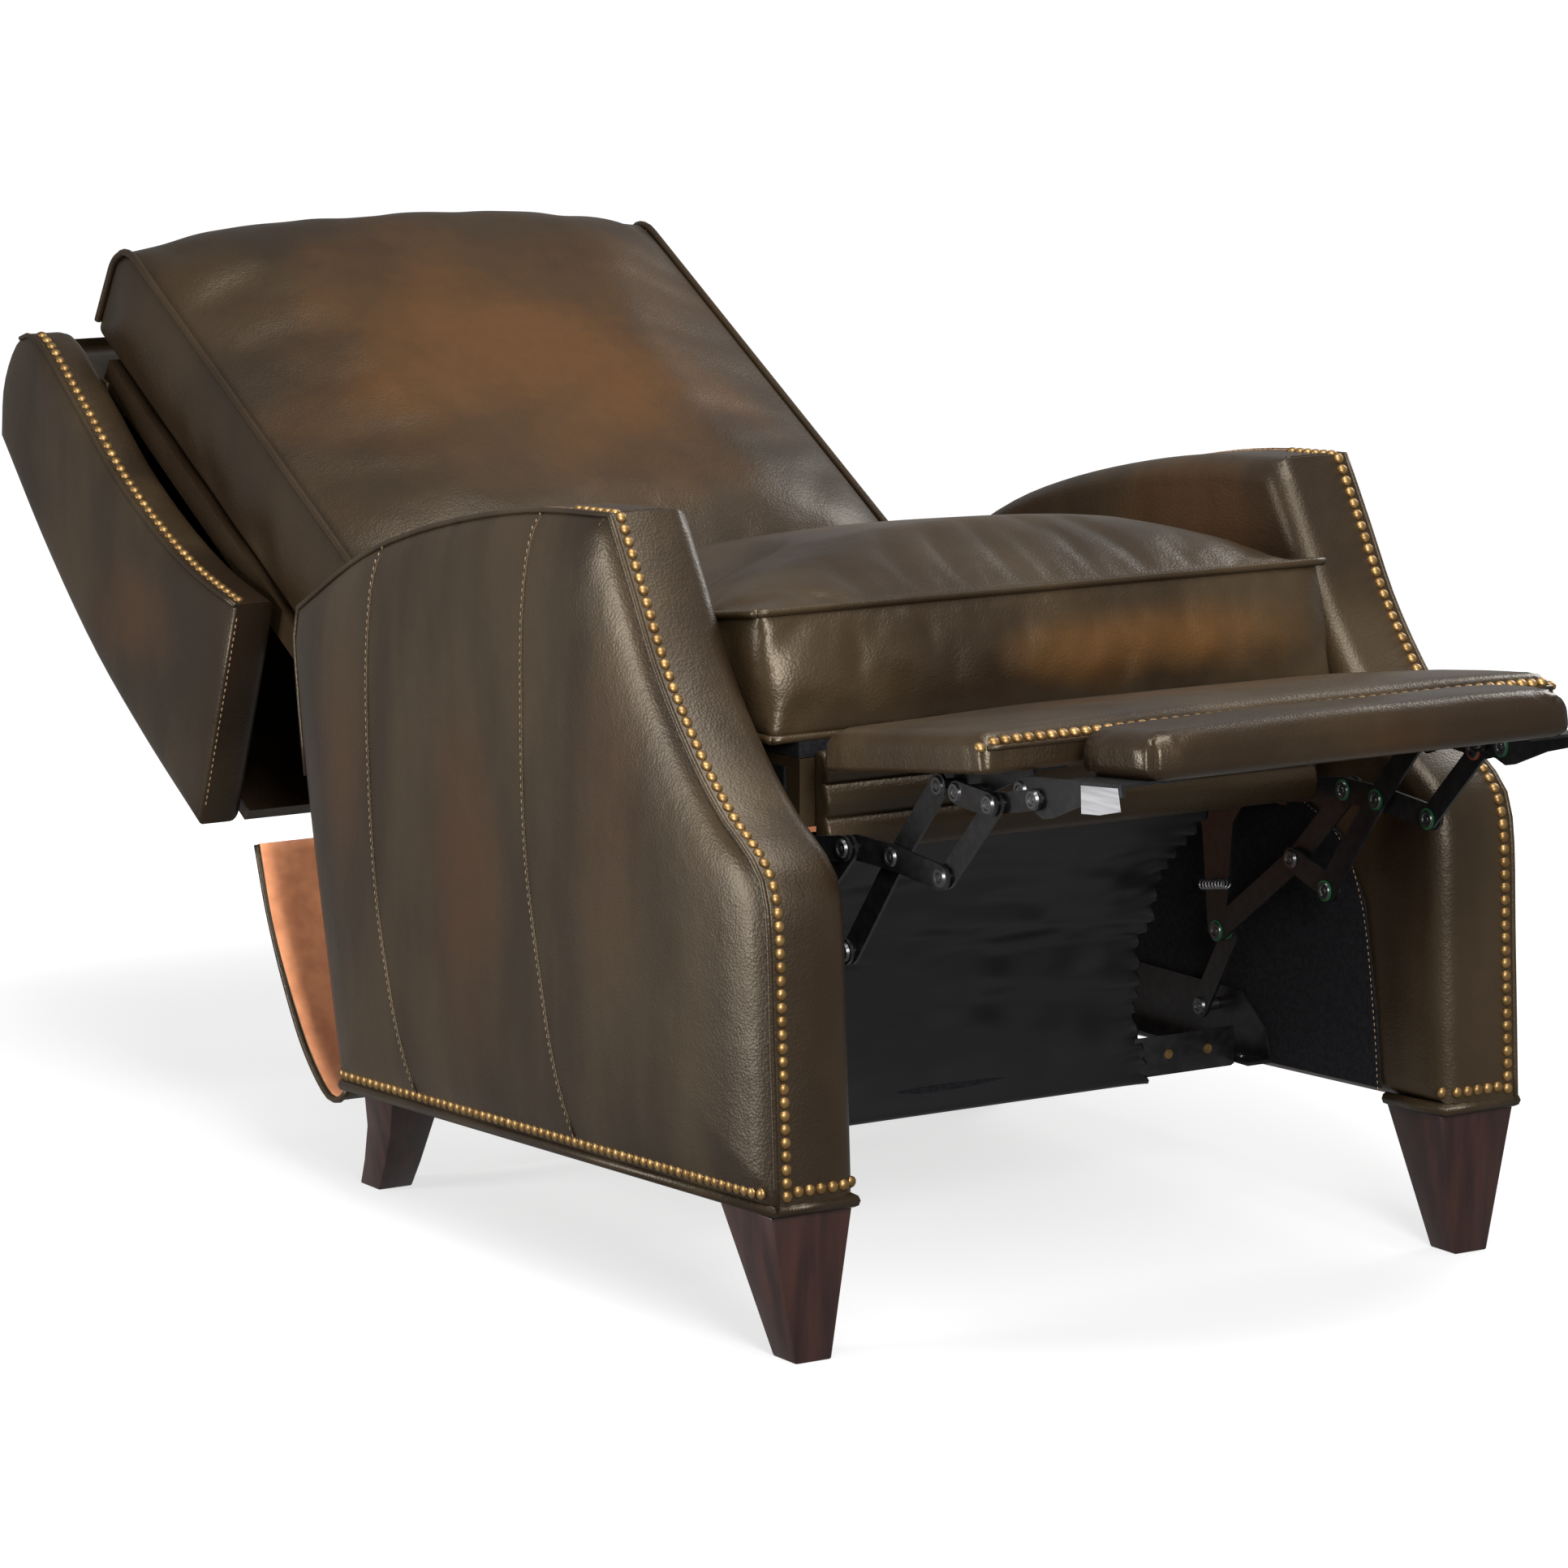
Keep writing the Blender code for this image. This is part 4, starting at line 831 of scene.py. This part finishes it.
# ---- skirt behind the base ----------------------------------------------------------------------------
# A loose sheet of the same hide, 3 mm thick, hangs in a curve from under the back and is stapled to
# the rear rail. Its rough suede side shows from the front, and its edge is turned and stitched.
skirt_leather = leather("rear_skirt_leather", DEEP, OLIVE, RUST)
suede = bpy.data.materials.new("orange_suede")
suede.use_nodes = True
suede_tree = suede.node_tree
suede_shader = suede_tree.nodes["Principled BSDF"]
suede_place = suede_tree.nodes.new("ShaderNodeTexCoord").outputs["Object"]
suede_tree.links.new(colour_ramp(suede_tree, noise_texture(suede_tree, suede_place, 45.0, 5.0),
                                 (0.60, 0.22, 0.095), (0.80, 0.33, 0.15), 0.3, 0.7),
                     suede_shader.inputs["Base Color"])
suede_shader.inputs["Roughness"].default_value = 0.95
suede_shader.inputs["Sheen Weight"].default_value = 0.35

SKIRT_LINE = [(0.688, 0.0935), (0.706, 0.081), (0.730, 0.084), (0.768, 0.118), (0.802, 0.170),
              (0.831, 0.228), (0.852, 0.287)]
skirt_run = through(SKIRT_LINE, 0.010)
skirt_shape = bmesh.new()
bmesh.ops.create_grid(skirt_shape, x_segments=46, y_segments=len(skirt_run) - 1, size=1.0)
for v in skirt_shape.verts:
    p = skirt_run[round((v.co.y + 1) / 2 * (len(skirt_run) - 1))]
    sway = 0.0035 * noise.noise(Vector((v.co.x * 3.5, p.y * 9, 4))) + 0.004 * abs(v.co.x) ** 6
    v.co = at(v.co.x * 0.361, p.x - sway, p.y + sway * 0.4)
skirt = piece("rear_skirt_leather", skirt_shape, [skirt_leather, suede], "base", 0, ["rear_skirt"])
skirt_wall = skirt.modifiers.new("hide", "SOLIDIFY")
skirt_wall.thickness = 0.003
skirt_wall.offset = 0.0
skirt_wall.material_offset = 1
skirt_wall.material_offset_rim = 0
for word, side in (("left", -1), ("right", 1)):
    edge = [at(side * 0.361, p.x, p.y) for p in skirt_run]
    piece(f"rear_skirt_edge_{word}", rolled_welt(edge, 0.0030), [skirt_leather], "base", 0)
    hem_spots = [(at(side * 0.353, p.x - 0.0022, p.y + 0.0010), Vector((0, -0.9, 0.43)))
                 for p in skirt_run[1:-1]]
    piece(f"rear_skirt_stitches_{word}", stitch_row(hem_spots), [thread], "base", 0)

# ---- black cloth in front of the base -----------------------------------------------------------------
# A satin sheet hides the works. It is stapled under the seat's front rail and round the base's cross
# rail, and elastic sewn into its side edges gathers it.
satin = bpy.data.materials.new("black_satin")
satin.use_nodes = True
satin_tree = satin.node_tree
satin_shader = satin_tree.nodes["Principled BSDF"]
satin_shader.inputs["Base Color"].default_value = (0.0045, 0.0045, 0.005, 1)
satin_shader.inputs["Roughness"].default_value = 0.42
satin_shader.inputs["Specular IOR Level"].default_value = 0.40
satin_weave = satin_tree.nodes.new("ShaderNodeTexNoise")
satin_weave.inputs["Scale"].default_value = 900.0
satin_tree.links.new(satin_tree.nodes.new("ShaderNodeTexCoord").outputs["Object"],
                     satin_weave.inputs["Vector"])
satin_bump = satin_tree.nodes.new("ShaderNodeBump")
satin_bump.inputs["Strength"].default_value = 0.2
satin_bump.inputs["Distance"].default_value = 0.0004
satin_tree.links.new(satin_weave.outputs["Fac"], satin_bump.inputs["Height"])
satin_tree.links.new(satin_bump.outputs["Normal"], satin_shader.inputs["Normal"])

CLOTH_LINE = [(0.128, 0.383), (0.150, 0.345), (0.178, 0.300), (0.205, 0.245), (0.222, 0.190), (0.2235, 0.150),
              (0.2235, 0.1245), (0.238, 0.1235)]
CLOTH_LEFT, CLOTH_RIGHT = -0.226, 0.170
CLOTH_WIDE = CLOTH_RIGHT - CLOTH_LEFT
cloth_run = through(CLOTH_LINE, 0.004)
cloth_shape = bmesh.new()
bmesh.ops.create_grid(cloth_shape, x_segments=150, y_segments=len(cloth_run) - 1, size=1.0)
for v in cloth_shape.verts:
    down = 1 - (v.co.y + 1) / 2
    p = cloth_run[round(down * (len(cloth_run) - 1))]
    x = CLOTH_LEFT + CLOTH_WIDE * (v.co.x + 1) / 2
    loose = math.sin(min(1.0, down * 1.06) * math.pi) ** 0.8
    side_pull = max(math.exp(-(CLOTH_RIGHT - x) / 0.028), math.exp(-(x - CLOTH_LEFT) / 0.022))
    sweep = down - 0.22 * (x - CLOTH_LEFT) / CLOTH_WIDE + 0.09 * noise.noise(Vector((x * 6, down * 3, 1)))
    folds = 0.010 * math.exp(-((sweep - 0.62) / 0.055) ** 2) + 0.008 * math.exp(-((sweep - 0.44) / 0.05) ** 2)
    folds += 0.006 * math.exp(-((sweep - 0.27) / 0.06) ** 2)
    gathers = 0.0042 * math.sin(down * 120 + 2.2 * noise.noise(Vector((x * 20, down * 14,
                                                                       7)))) * side_pull ** 2
    rumple = 0.007 * noise.noise(Vector((x * 9, down * 7, 3))) + 0.003 * noise.noise(Vector((x * 24,
                                                                                             down * 20, 5)))
    push = loose * (folds + rumple + 0.003 * math.sin(x * 22 + down * 5) - 0.015) + gathers * min(1, down * 9)
    narrow = 0.030 * side_pull * math.sin(min(1.0, down) * math.pi) * (1 if x < 0 else -1)
    v.co = at(x + narrow * 0.6, p.x - push * 0.86, p.y - push * 0.5 * (1 - down))
cloth = piece("dust_cloth_satin", cloth_shape, [satin], None, 0, ["dust_cloth"])
cloth_wall = cloth.modifiers.new("cloth", "SOLIDIFY")
cloth_wall.thickness = 0.0008
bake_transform(cloth)

# ---- cloth linings and other kept pieces --------------------------------------------------------------
# The arms' inner faces, the seat deck and the hidden wood keep the shapes they were built with.
felt = bpy.data.materials.new("black_felt")
felt.use_nodes = True
felt_tree = felt.node_tree
felt_shader = felt_tree.nodes["Principled BSDF"]
felt_place = felt_tree.nodes.new("ShaderNodeTexCoord").outputs["Object"]
felt_tree.links.new(colour_ramp(felt_tree, noise_texture(felt_tree, felt_place, 260.0, 4.0),
                                (0.0045, 0.0045, 0.0058), (0.0105, 0.0105, 0.0130), 0.3, 0.7),
                    felt_shader.inputs["Base Color"])
felt_shader.inputs["Roughness"].default_value = 0.95
felt_shader.inputs["Specular IOR Level"].default_value = 0.2

pine = bpy.data.materials.new("kiln_dried_wood")
pine.use_nodes = True
pine_tree = pine.node_tree
pine_place = pine_tree.nodes.new("ShaderNodeTexCoord").outputs["Object"]
pine_tree.links.new(colour_ramp(pine_tree, noise_texture(pine_tree, pine_place, 30.0, 6.0, (0.15, 1, 1)),
                                (0.36, 0.23, 0.12), (0.55, 0.40, 0.24), 0.3, 0.7),
                    pine_tree.nodes["Principled BSDF"].inputs["Base Color"])
pine_tree.nodes["Principled BSDF"].inputs["Roughness"].default_value = 0.75

spring_wire = bpy.data.materials.new("oiled_spring_wire")
spring_wire.use_nodes = True
spring_wire.node_tree.nodes["Principled BSDF"].inputs["Base Color"].default_value = (0.35, 0.35, 0.36, 1)
spring_wire.node_tree.nodes["Principled BSDF"].inputs["Metallic"].default_value = 1.0
spring_wire.node_tree.nodes["Principled BSDF"].inputs["Roughness"].default_value = 0.35


def refinish(finish, *nodes):
    for node in nodes:
        frame["nodes"][node].data.materials.clear()
        frame["nodes"][node].data.materials.append(finish)


refinish(felt, "arm_lining_left", "arm_lining_right", "seat_deck", "base_front_rail")
refinish(pine, "arm_frame_left", "arm_frame_right", "base_rear_rail")
refinish(cover_leather, "seat_frame")
refinish(back_leather, "back_frame")
refinish(spring_wire, "seat_springs")
for word, side in (("left", -1), ("right", 1)):
    lining_edge = [(0.056, 0.134), (0.064, 0.200), (0.082, 0.290), (0.117, 0.344), (0.180, 0.372)]
    spots = [(at(side * 0.2898, p.x + 0.003, p.y - 0.001), Vector((-side, 0, 0)))
             for p in through(lining_edge, 0.006)]
    piece(f"arm_lining_stitches_{word}", stitch_row(spots, 0.0035, 0.0055, 0.0005), [thread], "base", 0)

# ---- mechanism -----------------------------------------------------------------------------------------
# Stamped steel links, 3 mm thick, enamelled black. Shouldered rivets with a dished, bright head join
# them, with a nylon washer between the links.
enamel = bpy.data.materials.new("black_enamel")
enamel.use_nodes = True
enamel_tree = enamel.node_tree
enamel_shader = enamel_tree.nodes["Principled BSDF"]
enamel_place = enamel_tree.nodes.new("ShaderNodeTexCoord").outputs["Object"]
enamel_tree.links.new(colour_ramp(enamel_tree, noise_texture(enamel_tree, enamel_place, 120.0, 4.0),
                                  (0.006, 0.006, 0.0065), (0.014, 0.014, 0.015), 0.3, 0.7),
                      enamel_shader.inputs["Base Color"])
enamel_shader.inputs["Roughness"].default_value = 0.38
enamel_shader.inputs["Metallic"].default_value = 0.3
enamel_bump = enamel_tree.nodes.new("ShaderNodeBump")
enamel_bump.inputs["Strength"].default_value = 0.12
enamel_bump.inputs["Distance"].default_value = 0.0004
enamel_tree.links.new(noise_texture(enamel_tree, enamel_place, 500.0), enamel_bump.inputs["Height"])
enamel_tree.links.new(enamel_bump.outputs["Normal"], enamel_shader.inputs["Normal"])

rivet_steel = bpy.data.materials.new("blackened_rivet")
rivet_steel.use_nodes = True
rivet_steel.node_tree.nodes["Principled BSDF"].inputs["Base Color"].default_value = (0.11, 0.11, 0.115, 1)
rivet_steel.node_tree.nodes["Principled BSDF"].inputs["Metallic"].default_value = 0.9
rivet_steel.node_tree.nodes["Principled BSDF"].inputs["Roughness"].default_value = 0.33
nylon = {}
for word, colour in (("green", (0.008, 0.11, 0.035)), ("orange", (0.30, 0.045, 0.015))):
    nylon[word] = bpy.data.materials.new(f"nylon_{word}")
    nylon[word].use_nodes = True
    nylon[word].node_tree.nodes["Principled BSDF"].inputs["Base Color"].default_value = (*colour, 1)
    nylon[word].node_tree.nodes["Principled BSDF"].inputs["Roughness"].default_value = 0.5

for node in frame["nodes"]:
    stem = node.rsplit("_", 1)[0]
    if stem.endswith(("link", "lever", "bar", "bracket", "plate", "rail")) and node[-4:] in ("left", "ight"):
        refinish(enamel, node)
refinish(enamel, "torque_tube")


def rivet_head(shape, spot, direction, radius, height):
    """A round head with a chamfered rim and a dished middle."""
    turn = Matrix.Translation(spot + direction * height / 2) @ facing(direction)
    made = bmesh.ops.create_cone(shape, cap_ends=True, segments=20, radius1=radius, radius2=radius * 0.86,
                                 depth=height, matrix=turn)
    faces = {f for v in made["verts"] for f in v.link_faces}
    front = max(faces, key=lambda f: f.calc_center_median().dot(direction))
    bmesh.ops.inset_individual(shape, faces=[front], thickness=radius * 0.28, depth=0.0)
    bmesh.ops.inset_individual(shape, faces=[front], thickness=radius * 0.10, depth=-height * 0.45)
    bmesh.ops.inset_individual(shape, faces=[front], thickness=radius * 0.14, depth=0.0)
    bmesh.ops.inset_individual(shape, faces=[front], thickness=radius * 0.06, depth=height * 0.3)


PIVOTS = (
    ("lever_pivot", "drive_levers", (0.170, 0.378), 0.2565, 0.2653, None),
    ("control_top", "drive_levers", (0.055, 0.396), 0.2445, 0.2595, "green"),
    ("control_mid", "control_bars", (0.126, 0.326), 0.2445, 0.2535, None),
    ("control_low", "control_bars", (0.238, 0.245), 0.2505, 0.2535, "green"),
    ("scissor_middle", "scissor_links", (0.003, 0.396), 0.2385, 0.2475, "green"),
    ("scissor_end", "scissor_links", (-0.066, 0.390), 0.2385, 0.2475, "green"),
    ("long_low", "long_links", (0.070, 0.308), 0.2385, 0.2475, "green"),
    ("long_top", "long_links", (-0.054, 0.461), 0.2205, 0.2415, None),
    ("rocker_pivot", "footrest", (-0.087, 0.461), 0.2205, 0.2475, None),
    ("riser_top", "riser_links", (-0.132, 0.458), 0.2325, 0.2475, "orange"),
    ("flap_pivot", "footrest", (-0.150, 0.470), 0.2205, 0.2295, None),
    ("flap_pull", "flap_links", (-0.175, 0.467), 0.2265, 0.2355, "green"),
    ("swing_front_foot", "base", (0.285, 0.168), 0.2683, 0.2860, None),
    ("swing_rear_foot", "base", (0.585, 0.168), 0.2683, 0.2860, None),
    ("swing_front_head", "seat", (0.239, 0.245), 0.2623, 0.2713, "green"),
    ("swing_rear_head", "seat", (0.539, 0.245), 0.2623, 0.2713, "green"),
    ("back_pivot", "seat", (0.700, 0.300), 0.2587, 0.2653, None),
)
SPRING_TURNS, SPRING_R = 8, 0.0042
for word, side in (("left", -1), ("right", 1)):
    out = Vector((side, 0, 0))
    for name, body, (y, z), inner, outer, washer in PIVOTS:
        shape = bmesh.new()
        rivet_head(shape, at(side * inner, y, z), -out, 0.0082, 0.0022)
        if outer < 0.286:
            rivet_head(shape, at(side * outer, y, z), out, 0.0082, 0.0022)
        barrel = Matrix.Translation(at(side * (inner + outer) / 2, y, z)) @ facing(out)
        bmesh.ops.create_cone(shape, cap_ends=True, segments=20, radius1=0.0052, radius2=0.0052,
                              depth=outer - inner, matrix=barrel)
        piece(f"rivet_{name}_{word}", shape, [rivet_steel], body, 35)
        if washer:
            ring = bmesh.new()
            seat_of = Matrix.Translation(at(side * (inner - 0.0006), y, z)) @ facing(out)
            bmesh.ops.create_cone(ring, cap_ends=True, segments=24, radius1=0.0089, radius2=0.0089,
                                  depth=0.0010, matrix=seat_of)
            piece(f"washer_{name}_{word}", ring, [nylon[washer]], body, 35)
    turns = [k / 12 for k in range(12 * SPRING_TURNS + 1)]
    coil = [at(side * (0.2565 + SPRING_R * math.cos(2 * math.pi * k)), 0.268 - 0.036 * k / SPRING_TURNS,
               0.2805 + 0.006 * k / SPRING_TURNS + SPRING_R * math.sin(2 * math.pi * k)) for k in turns]
    piece(f"return_spring_{word}", rolled_welt(coil, 0.0008), [spring_wire], "seat", 0)
    if side > 0:
        angle = bmesh.new()
        bmesh.ops.create_cube(angle, size=1.0)
        for v in angle.verts:
            v.co = at(side * (0.2075 + 0.107 * v.co.x), 0.22495 + 0.0015 * v.co.y, 0.1450 + 0.034 * v.co.z)
        bmesh.ops.bevel(angle, geom=list(angle.edges), offset=0.0004, segments=2, profile=0.5,
                        affect="EDGES", material=-1)
        piece("front_rail_bracket_right", angle, [enamel], "base", 35)
        copper_heads = bmesh.new()
        for x in (0.190, 0.232):
            rivet_head(copper_heads, at(x, 0.2242, 0.1450), Vector((0, -1, 0)), 0.0045, 0.0014)
        piece("front_rail_bracket_screws", copper_heads, [brass], "base", 35)
    screws = bmesh.new()
    for y in (0.232, 0.262, 0.330, 0.470, 0.600):
        rivet_head(screws, at(side * 0.2742, y, 0.1320), Vector((0, 0, 1)), 0.0040, 0.0012)
    piece(f"base_rail_screws_{word}", screws, [rivet_steel], "base", 35)

# ---- plate on the left flap bracket ------------------------------------------------------------------
# A thin plate of bare aluminium, stuck to the bracket's outer face. The real plate is bent at its lower edge; here
# it is drawn as one flat outline.
bare_metal = bpy.data.materials.new("brushed_aluminium")
bare_metal.use_nodes = True
bare_tree = bare_metal.node_tree
bare_shader = bare_tree.nodes["Principled BSDF"]
bare_place = bare_tree.nodes.new("ShaderNodeTexCoord").outputs["Object"]
bare_tree.links.new(colour_ramp(bare_tree, noise_texture(bare_tree, bare_place, 60.0, 4.0, (1, 0.2, 4)),
                                (0.40, 0.40, 0.42), (0.58, 0.58, 0.60), 0.3, 0.7),
                    bare_shader.inputs["Base Color"])
bare_shader.inputs["Metallic"].default_value = 0.7
bare_shader.inputs["Roughness"].default_value = 0.38
PLATE_LINE = [(-0.231, 0.4860), (-0.279, 0.4905), (-0.283, 0.4730), (-0.256, 0.4665), (-0.232, 0.4640)]
plate_shape = bmesh.new()
plate_face = plate_shape.faces.new([plate_shape.verts.new(at(-0.2298, *p)) for p in PLATE_LINE])
plate_made = bmesh.ops.extrude_face_region(plate_shape, geom=[plate_face])
bmesh.ops.translate(plate_shape, vec=(-0.0007, 0, 0),
                    verts=[v for v in plate_made["geom"] if isinstance(v, bmesh.types.BMVert)])
bmesh.ops.bevel(plate_shape, geom=list(plate_shape.edges), offset=0.0002, segments=1, profile=0.5,
                affect="EDGES", material=-1)
piece("flap_bracket_plate", plate_shape, [bare_metal], "footrest_flap", 30)
